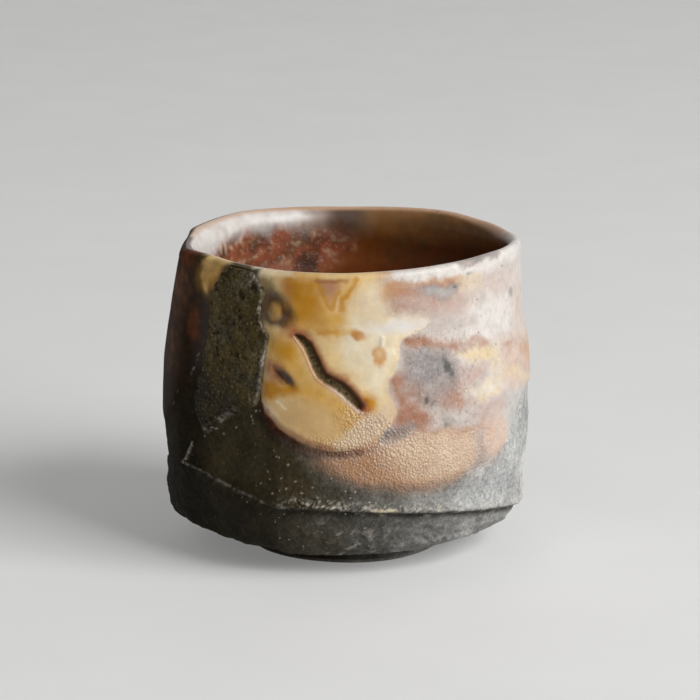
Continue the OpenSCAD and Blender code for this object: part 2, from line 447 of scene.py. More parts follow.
def wall_radius(turn, height):
    """Radius of the bare clay wall: the thrown barrel less the wire cuts, with the hand's unevenness."""
    belted = around(turn, BELTED_SIDE, 15)
    radius = mix(up_wall(height, PLAIN_WALL), up_wall(height, BELTED_WALL), belted) - GLAZE
    for level, half in GROOVES:
        radius -= GROOVE_DEPTH * belted * bell(height - level, half)
    for cut in WIRE_CUTS:
        radius = soft_min(radius, cut.radius(turn, height), CUT_BLEND)
    points = wall_points(turn, height)
    radius += 0.16 * lumps(points, 16, 1) + 0.08 * lumps(points, 5, 2)
    distance, along = line_distance(turn, height, TORN_EDGE, 9)
    torn = TORN_DEPTH * span(along, 0, 0.15, 0.9, 1)
    below = smoothstep(0.6, -0.6, height - np.interp(np.degrees(turn), *zip(*TORN_EDGE)))
    radius += torn * bell(distance, 0.5) * (0.6 + 0.9 * lumps(points, 0.8, 3))
    return radius - torn * below * smoothstep(9, 5, distance)


def bowl_radius(turn):
    """Radius of the lined bowl at the lip, from the cup's axis."""
    return BOWL_SHIFT * np.sin(turn) + np.sqrt(BOWL_R ** 2 - (BOWL_SHIFT * np.cos(turn)) ** 2)


def lip_place(turn, angle, proud):
    """Radius and height on the rounded lip, from its outside at 0 to its inside at half a turn."""
    drop = np.where(angle < math.pi / 2, LIP_ROUND, LIP_INSIDE)
    outer = wall_radius(turn, shoulder(turn)) + proud
    inner = bowl_radius(turn) + GLAZE - proud
    across = ((1 - np.cos(angle)) / 2) ** LIP_SKEW
    return mix(outer, inner, across), lip_height(turn) - drop + (drop - GLAZE + proud) * np.sin(angle)


def band_place(turn, t):
    """Radius and height on the trimmed band, from the foot's seam at 0 to under the ridge at 1."""
    ridge = ridge_height(turn)
    step = around(turn, BAND_STEP, 4)
    top_r = wall_radius(turn, ridge) + step
    top_z = ridge - 0.25 - 0.3 * np.abs(np.minimum(step, 0))
    low, high = (1 - t) ** 2, t ** 2
    pull = 2 * around(turn, BAND_PULL, 12) * t * (1 - t)
    whole = low + pull + high
    radius = (low * SEAM_R + pull * around(turn, BAND_CORNER_R, 10) + high * top_r) / whole
    height = (low * around(turn, SEAM, 20) + pull * around(turn, BAND_CORNER_Z, 10) + high * top_z) / whole
    radius = soft_min(radius, np.maximum(BAND_CUT.radius(turn, height), SEAM_R), CUT_BLEND)
    points = surface_points(turn, radius, height)
    degrees = np.degrees(turn)
    torn = span(degrees, *TORN_BAND)
    crumbly = bell(t - 0.58, 0.1) * torn
    rough = 0.42 * grit(points, 3.4, 5) + (0.06 + 0.42 * crumbly) * lumps(points, 0.9, 4)
    rough += 0.26 * grit(points, 1.7, 40) * span(degrees, *ROUGH_BAND)
    rough += crumbly * (0.35 + 0.5 * lumps(points, 2.2, 36)) - 0.5 * torn * bell(t - 0.4, 0.1)
    rough *= smoothstep(0, 0.12, t)
    return radius + rough, height - 0.5 * rough


def ledge_place(turn, t):
    """Radius and height on the small step from the band to the wall."""
    ridge = ridge_height(turn)
    under_r, under_z = band_place(turn, np.ones_like(turn))
    t = mix(0.25, 0.75, t)
    return mix(under_r, wall_radius(turn, ridge), t), mix(under_z, ridge, t * t)


def clay_wall_place(turn, t):
    """Radius and height up the clay wall, its rows closer low down, where burrs, sand and grains show."""
    ridge = ridge_height(turn)
    fine_share, fine_top = 0.75, 31.0
    plain = mix(fine_top, shoulder(turn), (t - fine_share) / (1 - fine_share))
    level = np.where(t < fine_share, mix(ridge, fine_top, t / fine_share), plain)
    points = wall_points(turn, level)
    degrees = np.degrees(turn)
    above = level - ridge
    burrs = bell(above - 0.4, 0.8) * (0.5 * lumps(points, 1.4, 7) + 0.3 * lumps(points, 0.7, 39))
    radius = wall_radius(turn, level)
    radius += span(degrees, *BURRED_RIDGE) * (0.4 * bell(above, 1.3) + burrs)
    radius += 0.3 * bell(above, 0.35) * span(degrees, *SHARP_RIDGE)
    radius += 0.35 * bell(line_distance(turn, level, CORNER_EDGE)[0], 0.35)
    sandy = 0.25 + 0.75 * smoothstep(-40, -10, degrees) + 0.6 * bell(above - 1.5, 2.0)
    sand = 0.19 * grit(points, 1.7, 8) + 0.07 * lumps(points, 0.6, 26)
    radius += sandy * sand * smoothstep(32, 26, level)
    for *spot, size in GRAINS:
        distance = spot_distance(turn, level, spot, reach=1.0)
        radius += 0.9 * np.sqrt(np.clip(size ** 2 - distance ** 2, 0, None))
    return radius - CLAY_ROOM * spatula_room(turn, level), level


def bowl_place(turn, t, deeper):
    """Radius and height inside the bowl, from the middle of its floor at 0 to under the lip at 1."""
    top = lip_height(turn) - LIP_INSIDE
    power = 2 / BOWL_FULLNESS
    angle = t * math.pi / 2
    radius = (bowl_radius(turn) + deeper) * np.sin(angle) ** power
    floor = BOWL_FLOOR - deeper
    height = floor + (top - floor) * (1 - np.cos(angle) ** power)
    points = surface_points(turn, radius, height)
    rings = 0.12 * np.sin(height * 1.05 + turn) * smoothstep(12, 22, height) + 0.12 * lumps(points, 6, 6)
    return radius + rings * span(t, 0.05, 0.3, 0.9, 1.0), height


def bowl_rows(t):
    """Spreads the bowl's rows: a third over its floor, and the rest evenly up its wall."""
    floor_share, wall_from, power = 0.3, 0.4, BOWL_FULLNESS / 2
    rise = mix(wall_from, 1, np.clip((t - floor_share) / (1 - floor_share), 0, 1))
    wall = np.arccos((1 - rise) ** power) / (math.pi / 2)
    return np.where(t < floor_share, wall.min() * t / floor_share, wall)


# Where the glazes lie

COAT_EDGE = [(-180, 20), (-150, 18.5), (-120, 21), (-100, 22), (-80, 21), (-70, 24), (-62, 30), (-50, 34),
             (-28, 33), (-24, 28), (-18, 25), (-13, 22.8), (-7, 19.9), (2, 17.2), (17, 15.6), (30, 15.6),
             (40, 16.8), (46, 18.4), (52, 18.6), (58, 20.6), (64, 24), (72, 27.6), (88, 28), (104, 23),
             (125, 18), (150, 21)]
POOL_OUTLINE = [(-29, 57), (-28, 51), (-26.5, 46), (-25, 42), (-26, 37.5), (-26.6, 33), (-25.6, 30),
                (-20.5, 27.4), (-15, 25.4), (-10.6, 24.2), (-5, 23.7), (0, 23.6), (5, 24), (9.4, 25.4),
                (13.6, 28.4), (15.2, 30.4), (14.4, 32.4), (13, 34.2), (13, 35.8), (15.4, 37.8), (17, 40),
                (17.6, 42.4), (20, 43.2), (24, 44), (27.8, 45.3), (25, 46.5), (15, 47.3), (12, 50),
                (12, 57)]
CRUST_OUTLINE = [(-41, 57), (-42, 54.2), (-45.5, 52.6), (-48.4, 50.6), (-50.2, 48), (-51.4, 44),
                 (-51.6, 40.6), (-53.8, 37.6), (-56, 33), (-58, 28), (-53.4, 24), (-47, 26), (-42, 27.5),
                 (-35.4, 29.6), (-30, 29.9), (-26.6, 31.4), (-25.6, 35), (-24.8, 38.6), (-23, 43),
                 (-25.6, 44.6), (-26.8, 46.4), (-26.2, 49), (-25.4, 51), (-27.6, 52.4), (-30.5, 53.8),
                 (-31, 57)]
# The crust's raised seams, each with half its width and its lift: the ragged right edge, a fold that runs
# down from it, and the rims of burst bubbles
CRUST_SEAMS = [
    ([(-31.7, 54.2), (-30.1, 52.8), (-27.9, 51.4), (-27.1, 49.4), (-27.9, 47.4), (-27.5, 45), (-24.9, 43.4),
      (-25.5, 40.8), (-26.5, 37), (-27.3, 33.8), (-28.7, 31.4)], 0.4, 0.5),
    ([(-24.6, 42.8), (-27.6, 41.4), (-29.8, 39.4), (-31, 37), (-31.8, 34), (-31, 31.6)], 0.4, 0.12),
    ([(-32, 51.8), (-30.4, 52.4), (-28.8, 51.6), (-28.8, 50.2), (-30.6, 49.6), (-32, 50.6), (-32, 51.8)],
     0.3, 0.2),
    ([(-37, 50), (-35.4, 51.2), (-33.4, 50.4), (-33.2, 48.6), (-35.2, 47.8), (-36.8, 48.6), (-37, 50)], 0.3,
     0.12),
]
BUBBLE_PITS = [(-30.4, 51, 0.9), (-35.2, 49.5, 0.8), (-27.6, 48.5, 0.4), (-28, 45, 0.3), (-37, 39, 0.35),
               (-40.6, 36.2, 0.28), (-46.2, 39.4, 0.45), (-29, 36.2, 0.32), (-49.4, 45.2, 0.35),
               (-43.6, 51.4, 0.3), (-45.6, 44.6, 0.3), (-38.6, 46.4, 0.3), (-33.6, 44.8, 0.25),
               (-41.4, 42.6, 0.22)]
PIT_DASH = (0.6, -0.3)
# A bead on the pool's left, and a small drop on its right: where it starts and which way it runs
BEAD = (-22.2, 47.3)
DROP = ((11.3, 41.9), (0.1, 1.2))
# How far the coat goes on, hidden, below its edge, and the heights where the pool and the crust start
COAT_TAIL = 3.0
POOL_FOOT = 20.4
CRUST_FOOT = 21.5


def pool_depth(turn, height):
    """How deep inside the pool a place is, in millimetres, with an edge that wanders."""
    points = wall_points(turn, height)
    depth = inside_depth(turn, height, POOL_OUTLINE)
    return depth + 0.3 * lumps(points, 3, 11) + 0.12 * lumps(points, 1.1, 12)


def crust_depth(turn, height):
    """How deep inside the crust a place is, in millimetres, with a ragged edge."""
    points = wall_points(turn, height)
    depth = inside_depth(turn, height, CRUST_OUTLINE)
    return depth + 0.4 * lumps(points, 2.2, 13) + 0.3 * lumps(points, 0.8, 14)


def coat_edge(turn):
    """Height of the coat's lower edge."""
    return around(turn, COAT_EDGE, 4)


def coat_depth(turn, height):
    """How far above the coat's lower edge a place is, in millimetres."""
    points = wall_points(turn, height)
    return height - coat_edge(turn) + 0.8 * lumps(points, 4.5, 15) + 0.4 * lumps(points, 1.5, 16)


def coat_proud(turn, height, thickness):
    """How far the coat stands out of the clay: thin at its lower edge, sunk under pool and crust."""
    proud = mix(-0.35, thickness, smoothstep(-1.2, 3.2, coat_depth(turn, height)))
    under_pool = smoothstep(0.8, 2.6, pool_depth(turn, height))
    under_crust = smoothstep(0.4, 1.6, crust_depth(turn, height))
    return mix(proud, -0.25, np.maximum(under_pool, under_crust)) - COAT_ROOM * spatula_room(turn, height)


def pool_proud(turn, height, thickness, coat, gouge):
    """How far the pool's surface stands out of the clay: a fat roll low on the left, thin to the right."""
    depth = pool_depth(turn, height)
    degrees = np.degrees(turn)
    low_roll = smoothstep(11, -4, degrees) * smoothstep(40, 30, height)
    left_roll = 0.75 * smoothstep(-12, -20, degrees) * smoothstep(50, 44, height)
    fat = np.maximum(low_roll, left_roll)
    full = mix(coat + 0.05, thickness, fat)
    roll = mix(smoothstep(-1.5, 2.2, depth), np.sqrt(np.clip(depth / 1.5, 0, 1)), fat)
    edge = coat * (1 - fat)
    proud = np.where(depth > 0, mix(edge, full, roll), edge - 1.2 * smoothstep(0, -2.5, depth))
    proud += 0.10 * lumps(wall_points(turn, height), 6, 17) * smoothstep(0, 2, depth)
    bead = spot_distance(turn, height, BEAD, (0.2, 0))
    proud += 0.4 * smoothstep(1.6, 0.2, bead) - 0.22 * bell(bead - 2.3, 0.7)
    proud += 0.18 * smoothstep(0.7, 0.0, spot_distance(turn, height, *DROP))
    return proud - gouge * spatula_cuts(turn, height)[0]


def crust_proud(turn, height, thickness):
    """How far the crust's surface stands out of the clay: lumpy, pitted, with raised seams."""
    points = wall_points(turn, height)
    calm = smoothstep(38, 31, height) * smoothstep(-32, -38, np.degrees(turn))
    full = thickness + (0.15 * grit(points, 1.4, 18) + 0.14 * lumps(points, 5, 21)) * (1 - 0.8 * calm)
    for seam, half, lift in CRUST_SEAMS:
        distance = line_distance(turn, height, seam)[0] + 0.3 * lumps(points, 1.2, 23)
        full += lift * bell(distance, half) * (0.7 + 0.9 * lumps(points, 0.8, 22))
    for *spot, size in BUBBLE_PITS:
        distance = spot_distance(turn, height, spot, PIT_DASH) + 0.12 * lumps(points, 0.7, 27)
        full -= 0.35 * size * smoothstep(size * 1.1, size * 0.3, distance)
    full -= 0.2 * smoothstep(0.3, 0.6, lumps(points, 0.9, 66)) * (1 - 0.6 * calm)
    return mix(-0.5, full, smoothstep(-0.5, 0.7, crust_depth(turn, height)))


# Fired colour, as strokes of glaze laid one over the other

class Oval(NamedTuple):
    """An oval of one colour: its middle, half its width and height, tilt, softness and strength."""
    colour: str
    turn: float
    height: float
    wide: float
    high: float
    tilt: float = 0
    soft: float = 0.45
    strength: float = 1.0

    def cover(self, turn, height):
        """How far the oval covers each place, up to its strength."""
        across = WALL_R * turned(turn, self.turn)
        rise = height - self.height
        lean = math.radians(self.tilt)
        x = (across * math.cos(lean) + rise * math.sin(lean)) / self.wide
        y = (rise * math.cos(lean) - across * math.sin(lean)) / self.high
        return self.strength * smoothstep(1 + self.soft, 1 - self.soft, np.hypot(x, y))


class Area(NamedTuple):
    """An outline of turns and heights filled with one colour, with its edge's softness and its strength."""
    colour: str
    outline: list
    soft: float = 0.5
    strength: float = 1.0

    def cover(self, turn, height):
        """How far the area covers each place, up to its strength."""
        return self.strength * smoothstep(-self.soft, self.soft, inside_depth(turn, height, self.outline))


class Line(NamedTuple):
    """A drawn line of turns and heights in one colour, with half its width and its strength."""
    colour: str
    points: list
    half: float
    strength: float = 1.0

    def cover(self, turn, height):
        """How far the line covers each place, up to its strength."""
        distance, _ = line_distance(turn, height, self.points)
        return self.strength * smoothstep(1.9 * self.half, 0.2 * self.half, distance)


COAT_STROKES = [
    # round the cup: milky on the right, warm at the back, dark brown on the left, darkened further there as
    # painted shade of the side away from the window
    Oval("milk", 75, 40, 54, 34, 0, 0.3),
    Oval("rose", 165, 36, 34, 28, 0, 0.5),
    Oval("tan", -140, 36, 26, 26, 0, 0.5, 0.8),
    Oval("bistre", -80, 40, 30, 40, 0, 0.2),
    Oval("white", 112, 50, 16, 4, 0, 0.6, 0.7),
    Oval("slate", 124, 35, 9, 7, 0, 0.6, 0.5),
    Oval("cream", 152, 44, 10, 7, 20, 0.5, 0.7),
    Oval("tan", 130, 22, 18, 6, 0, 0.6, 0.8),
    Oval("mauve", 168, 30, 16, 8, -10, 0.6, 0.6),
    Oval("honey", -172, 38, 6, 9, 15, 0.7, 0.5),
    Oval("biscuit", -148, 46, 12, 7, 10, 0.6, 0.5),
    Oval("rust", -122, 32, 10, 8, 0, 0.7, 0.4),
    # left face
    Area("rust", [(-70, 56), (-60, 56), (-57, 53.6), (-61, 52), (-69, 52.4)], 1.2, 0.4),
    Oval("mauve", -69, 48, 5, 3.6, 0, 0.8, 0.25),
    Oval("rust", -57, 42.6, 1.2, 2.6, -15, 0.9, 0.3),
    Oval("mauve", -72, 38, 3, 6, 0, 0.9, 0.15),
    # painted shade over the lower left face, away from the window
    Area("soot_and_shade", [(-80, 33), (-66, 32), (-60, 36), (-54, 38), (-52, 34), (-52, 22), (-80, 18)], 2.2, 0.55),
    Area("cream", [(-53.6, 53.4), (-52, 55), (-46, 56.5), (-38, 56.5), (-41.4, 54.4), (-45.4, 53.4),
                   (-48.2, 51.8), (-50.2, 49.4), (-51.4, 48.3), (-52.4, 49.2), (-53.4, 51.4)], 0.5, 0.85),
    Oval("honey", -50, 51.4, 2.4, 2.6, 0, 0.9, 0.7),
    Oval("honey", -46.6, 53.6, 1.6, 0.9, 20, 0.8, 0.5),
    # right side, under the lip
    Oval("rose", 56, 50, 7, 1.8, 0, 0.9, 0.3),
    Area("rose", [(13, 50), (24, 49), (36, 49), (42, 49.4), (43, 47.6), (38, 46.4), (30, 46.2), (22, 46.9),
                  (14, 47.2)], 1.4, 0.85),
    Area("mauve", [(10.5, 52.2), (20, 52.3), (30, 52.4), (38, 52), (40, 50.6), (37, 48.9), (30, 48.6),
                   (23, 48.9), (16, 49.3), (11, 49.6)], 1.6, 0.8),
    Line("ochre", [(14, 52.2), (22, 52.3), (32, 52.2), (40, 51.8)], 0.45, 0.35),
    Oval("ochre", 13.6, 51.2, 3, 1.1, 0, 0.8, 0.6),
    Oval("mauve", 17.6, 48.2, 2.6, 1.2, -8, 0.9, 0.5),
    Area("straw", [(38, 52.2), (48, 52.4), (50, 50.4), (44, 49.6), (39, 50)], 1.2, 0.5),
    Area("slate", [(23.8, 51.1), (28, 51.4), (36, 51), (38.6, 50.5), (38.6, 49.2), (35, 48.6), (30, 49.2),
                   (25, 49.6)], 0.6, 0.7),
    Area("dust", [(25, 50.8), (29, 51.1), (36, 50.7), (37.6, 50), (35, 49), (30, 49.6), (26, 49.8)], 0.5,
         0.5),
    Oval("slate", 36.8, 50.2, 0.8, 0.4, 0, 0.6, 0.6),
    Oval("soot_and_shade", 37, 50.2, 0.4, 0.28, 0, 0.7, 0.6),
    # white under the lip on the right: milky glaze with painted highlight where the rim rolls towards the
    # window
    Area("white", [(14, 56), (40, 56.5), (90, 57.5), (98, 53.2), (70, 52.8), (56, 52.5), (44, 52.7),
                   (26, 52.5), (16, 53)], 0.7, 0.95),
    Area("ochre", [(3, 56), (17, 56), (14.6, 53.4), (10, 52.4), (5, 53)], 1.2, 0.6),
    Area("lilac", [(36, 57), (66, 57.5), (66, 55), (58, 54.2), (48, 53.8), (40, 53.6)], 0.5, 0.7),
    Oval("slate", 52, 54.6, 3.4, 0.5, 4, 0.8, 0.6),
    Oval("slate", 42.6, 52.5, 0.55, 0.3, 0, 0.6, 0.55),
    Oval("clay", 66.4, 47.4, 0.8, 1.0, -15, 0.7, 0.6),
    Area("white", [(44, 46.8), (56, 47.4), (70, 46.4), (72, 43.6), (62, 41.2), (50, 40.9), (48.4, 42),
                   (46, 44)], 1.5, 0.75),
    Oval("peach", 73.5, 44.6, 3.4, 2.6, 0, 0.8, 0.55),
    Oval("slate", 47.6, 44.6, 0.6, 0.3, -20, 0.7, 0.35),
    Oval("lilac", 33, 44.6, 5, 1.3, -6, 0.9, 0.3),
    # painted highlight on the glaze of the right side
    Oval("white", 41.6, 42.7, 4, 0.9, -6, 0.8, 0.55),
    # right side, middle: a brown-pink groove, a grey cloud, yellow and pink patches
    Area("mauve", [(17.4, 43.3), (22, 43.5), (25, 43.2), (28, 42), (32, 41.2), (37, 41.1), (37, 40),
                   (30, 40.2), (24, 40.7), (19, 41.5)], 1.1, 1.0),
    Oval("rust", 21.8, 42.3, 3.0, 0.7, 6, 0.9, 0.3),
    Line("mauve", [(36, 40.6), (44, 40.6), (50, 40.3)], 0.8, 0.55),
    Area("lilac", [(17.4, 41), (22, 40.8), (30, 40.2), (34, 40), (36, 38.4), (37, 35.6), (36, 32), (32, 30),
                   (26, 30.6), (20, 31.4), (17, 34), (16.4, 37.4)], 1.5, 0.95),
    Area("slate", [(19.6, 40), (26, 40.4), (33, 39.6), (35, 37), (31, 35), (25, 34.4), (20, 36)], 1.6,
         0.72),
    Oval("mauve", 19.4, 33.4, 2.2, 2.0, 0, 0.9, 0.4),
    Oval("clay", 32.6, 37.6, 0.5, 1.5, 14, 0.7, 1.0),
    Oval("clay", 25, 32.1, 0.4, 1.1, -8, 0.7, 0.8),
    Area("mauve", [(12.6, 36.6), (15.6, 37), (17.4, 35.6), (17.8, 33), (16.6, 31.6), (14.4, 32.8)], 1.5,
         0.95),
    Area("straw", [(37.4, 39.4), (42, 40), (50, 39.6), (53, 38.4), (52, 36.8), (46, 37.3), (41, 38)], 0.9,
         0.85),
    Area("straw", [(50, 39.4), (56, 39), (57, 36), (54, 34.4), (50, 35.4)], 1.2, 0.5),
    Area("rose", [(36, 37.2), (44, 37), (50, 36), (49, 34.8), (42, 33.6), (36, 33.6)], 1.2, 0.85),
    Area("mauve", [(33, 33.4), (37, 33.8), (39, 32.2), (42, 30.8), (38, 29.8), (31, 29.6), (30, 31.4)], 1.5,
         0.75),
    Area("straw", [(39.4, 33), (44, 33.4), (52, 34), (57, 33.4), (56, 31.2), (50, 30.8), (47, 29.7),
                   (44, 30.3), (43, 31.6)], 0.6, 0.75),
    Oval("white", 48, 32.4, 4, 0.9, 3, 0.8, 0.55),
    # right side, far round: long pink and yellow streaks
    Area("peach", [(57, 39.8), (70, 40), (84, 38), (92, 33), (92, 28), (80, 29), (70, 30.4), (60, 31),
                   (57, 34)], 1.6, 0.75),
    Oval("ochre", 88, 34, 5, 4, 0, 0.9, 0.5),
    Line("rose", [(58, 38.8), (70, 38.2), (80, 36.6)], 0.8, 0.55),
    Line("straw", [(58, 34.4), (66, 33.6), (74, 31.6), (82, 30.4)], 0.9, 0.65),
    Line("ochre", [(72, 36.4), (80, 35.4), (88, 33.6)], 1.1, 0.45),
    Line("rose", [(64, 35), (76, 33.2), (86, 31)], 0.6, 0.5),
    Oval("mauve", 61, 38.9, 1.4, 0.45, 5, 0.8, 0.45),
    Oval("slate", 60, 37, 0.7, 0.5, 0, 0.8, 0.3),
    Area("dust", [(57, 30), (70, 30.4), (84, 28.8), (92, 26), (84, 21), (70, 22), (62, 22), (58, 26)], 1.8,
         0.6),
    # right side, lower: pink and grey bands, then the pebbled gold
    Area("rose", [(40, 30), (48, 30.2), (57, 30.6), (58, 27.4), (52, 26.2), (46, 25.8), (43, 27)], 1.2,
         0.65),
    Area("tan", [(-13, 23.8), (-8, 23), (-2, 23.6), (4, 24), (10, 25), (18, 26), (30, 26.6), (40, 26),
                 (41, 22), (40, 18.4), (36, 16), (26, 14.8), (14, 15), (4, 16.6), (-4, 18.6), (-10, 21)],
         2.2, 0.95),
    Area("mauve", [(14, 30.8), (18, 31.8), (24, 30.6), (27, 29), (26, 27.6), (20, 27.2), (15.4, 28)], 1.5,
         1.0),
    Oval("rust", 19, 29.6, 3.2, 1.0, 8, 0.9, 0.3),
    Area("slate", [(10.6, 27.2), (14, 28.2), (19, 28.2), (22, 27.4), (19, 26.2), (14, 25.8), (10.4, 26)],
         0.8, 0.85),
    Oval("umber", 16, 27, 2.8, 0.7, 4, 0.9, 0.42),
    Area("milk", [(26, 29.8), (34, 29.9), (42, 29.4), (45, 27.2), (40, 26.4), (32, 26.4), (26, 27.4)], 1.2,
         0.4),
    Oval("lilac", 36, 28.4, 5, 1.3, 0, 0.9, 0.45),
    Line("mauve", [(22, 26.9), (30, 26.2), (40, 26), (46, 26.2)], 0.7, 0.6),
    Oval("slate", 31.6, 27.3, 1.5, 0.9, 15, 0.9, 0.7),
    Oval("soot_and_shade", 31.6, 27.1, 0.6, 0.45, 20, 0.9, 0.6),
    Oval("white", 36.6, 28.6, 1.8, 0.5, -4, 0.9, 0.35),
    Area("biscuit", [(13, 25.4), (22, 26), (32, 26.1), (42, 25), (43, 21), (37, 18.4), (26, 18.4),
                     (17, 19.8), (12, 22)], 2.4, 0.95),
    Oval("mauve", 24, 21.4, 1.6, 1.2, 0, 0.9, 0.35),
    Oval("peach", 33, 22.6, 5.5, 2.4, 0, 0.9, 0.45),
    Oval("straw", 22, 23, 5, 2.2, 0, 0.9, 0.3),
    Oval("tan", 15, 21.4, 3, 2, 0, 0.9, 0.4),
    Area("clay", [(-9, 20.4), (10, 17.6), (24, 17), (40, 17.6), (43, 14.6), (20, 13.4), (0, 14.6),
                  (-9, 18)], 1.8, 0.68),
    Area("lilac", [(42, 25), (46, 25), (48, 21), (47, 18.6), (43, 18.6)], 1.1, 0.6),
    Area("peach", [(46, 26.4), (52, 26.8), (58, 25), (59, 21.6), (56, 19), (51, 18.4), (48, 20.6),
                   (46.6, 23)], 1.2, 0.85),
]

POOL_STROKES = [
    Area("pale", [(0, 46.4), (4, 50.4), (8, 52.2), (13, 52.4), (14, 47), (20, 46.6), (28, 45.4), (24, 44),
                  (18, 42.6), (17.4, 40), (15, 37.8), (12.6, 36), (12.6, 33.4), (10, 32.4), (7.4, 34),
                  (3, 37), (-1, 38.8), (-2.4, 41), (-1, 43)], 1.8, 0.9),
    Oval("ochre", 7, 48.6, 3.6, 2.0, 0, 0.9, 0.15),
    # the raised belt: milky glaze with painted highlight along it
    Oval("white", 18, 45.1, 6.0, 1.1, 2, 0.8, 0.9),
    Area("honey", [(-26, 34), (-20, 31.4), (-14, 33), (-8, 34.4), (-3, 33.2), (2, 31), (5, 29.6), (3, 28),
                   (-2, 26), (-8, 25), (-16, 27), (-22, 29.4), (-26, 32)], 1.8, 0.3),
    Oval("tan", -12, 29, 6, 3, -20, 0.9, 0.25),
    Area("honey", [(-24, 43.5), (-17, 43.6), (-14, 41), (-10, 37), (-6, 35), (-2, 33.4), (2, 31.4),
                   (0, 30.4), (-6, 32), (-12, 33), (-18, 34), (-22, 36), (-24, 39)], 1.8, 0.75),
    Area("honey", [(-19, 53.4), (-9, 53), (-7.6, 50), (-4.6, 48.4), (-1, 47.6), (0.4, 45.6), (-3, 44.2),
                   (-9, 44), (-14, 44.4), (-18, 46)], 2.0, 0.85),
    Area("honey", [(-1.4, 53.2), (4.4, 53.4), (3.4, 51.4), (1, 49.6), (-0.6, 48), (-1.2, 50)], 0.9, 0.6),
    Area("amber", [(-19.8, 53.6), (-10, 53.4), (-8.6, 51), (-7.6, 48), (-7.4, 45.6), (-13, 44.8),
                   (-16.6, 45.8), (-18.6, 48)], 2.2, 0.9),
    Oval("rust", -18.2, 51, 1.2, 2.4, -8, 0.9, 0.3),
    Area("rust", [(-20, 46), (-16, 46.2), (-13.6, 44.4), (-14.6, 43.2), (-17, 43.2), (-19.6, 43.6)], 0.9,
         0.6),
    Area("amber", [(-21.6, 43), (-17, 43), (-15, 41), (-15.6, 39), (-18, 38.6), (-21, 40)], 1.3, 0.7),
    Area("ochre", [(-8.6, 53.2), (-0.8, 53.2), (-2.4, 51), (-4.2, 49.2), (-5.4, 49.4), (-7, 51)], 0.7,
         0.85),
    Oval("mauve", -5, 51.6, 1.6, 1.2, 0, 0.9, 0.75),
    Line("amber", [(-8.6, 52.4), (-7, 50.6), (-5.2, 48.8), (-4.2, 48.6), (-3.2, 49.8), (-2, 51)], 0.4,
         0.75),
    Line("amber", [(-1.2, 48.4), (-0.6, 50), (0.8, 50.6), (2.4, 52), (3.6, 53.4)], 0.45, 0.7),
    Line("rust", [(-9.4, 53), (-5, 52.9), (0, 52.9)], 0.35, 0.55),
    Area("amber", [(-9, 44.6), (-5.4, 44.7), (-2.6, 44.3), (-2.4, 43.7), (-6, 43.5), (-9, 43.8)], 0.6,
         0.75),
    Line("honey", [(-3, 44), (3, 44.2)], 0.5, 0.5),
    Oval("ochre", 4.4, 43.7, 1.5, 0.75, -6, 0.45, 0.9),
    Oval("amber", 3.4, 43.9, 0.8, 0.4, 0, 0.7, 0.35),
    Oval("ochre", 10.3, 40.2, 1.2, 1.5, 15, 0.4, 0.85),
    Oval("straw", 10.3, 40.5, 0.6, 0.7, 0, 0.9, 0.35),
    # painted highlight: a glint on the small drop
    Oval("white", 11.35, 42.5, 0.25, 0.8, 4, 0.6, 0.8),
    Oval("straw", 12.6, 49, 0.9, 1.6, 0, 0.8, 0.5),
    Area("amber", [(-26, 35.6), (-22, 35.8), (-18.6, 34.9), (-14.4, 35.2), (-13.4, 34.4), (-16, 33.6),
                   (-20, 33.2), (-23, 32.4), (-26, 32.6)], 0.9, 0.95),
    # painted glint along the pool's lower left edge
    Line("pale", [(-21, 32.3), (-19.4, 31.5), (-18.4, 31.3)], 0.2, 0.8),
    Area("pale", [(-26, 31.8), (-22, 30.8), (-20, 29.2), (-23, 28.8), (-25.4, 30.2)], 0.8, 0.4),
    Area("amber", [(-4.6, 30.8), (-1, 29.4), (2.4, 29.2), (4, 30), (2, 28.2), (-0.6, 27.6), (-3, 28.8)],
         0.9, 0.35),
    Oval("amber", 6.4, 31.8, 1.7, 1.9, 30, 0.7, 1.0),
    Oval("rust", 5.6, 31.6, 0.9, 1.2, 30, 0.9, 0.8),
    Area("biscuit", [(5.4, 30.2), (9, 31), (13, 33), (15, 30.6), (13.6, 28.4), (10, 26), (4, 24.4),
                     (-2, 24.4), (-4, 25.4), (0, 27), (3, 28.6)], 1.0, 0.85),
]
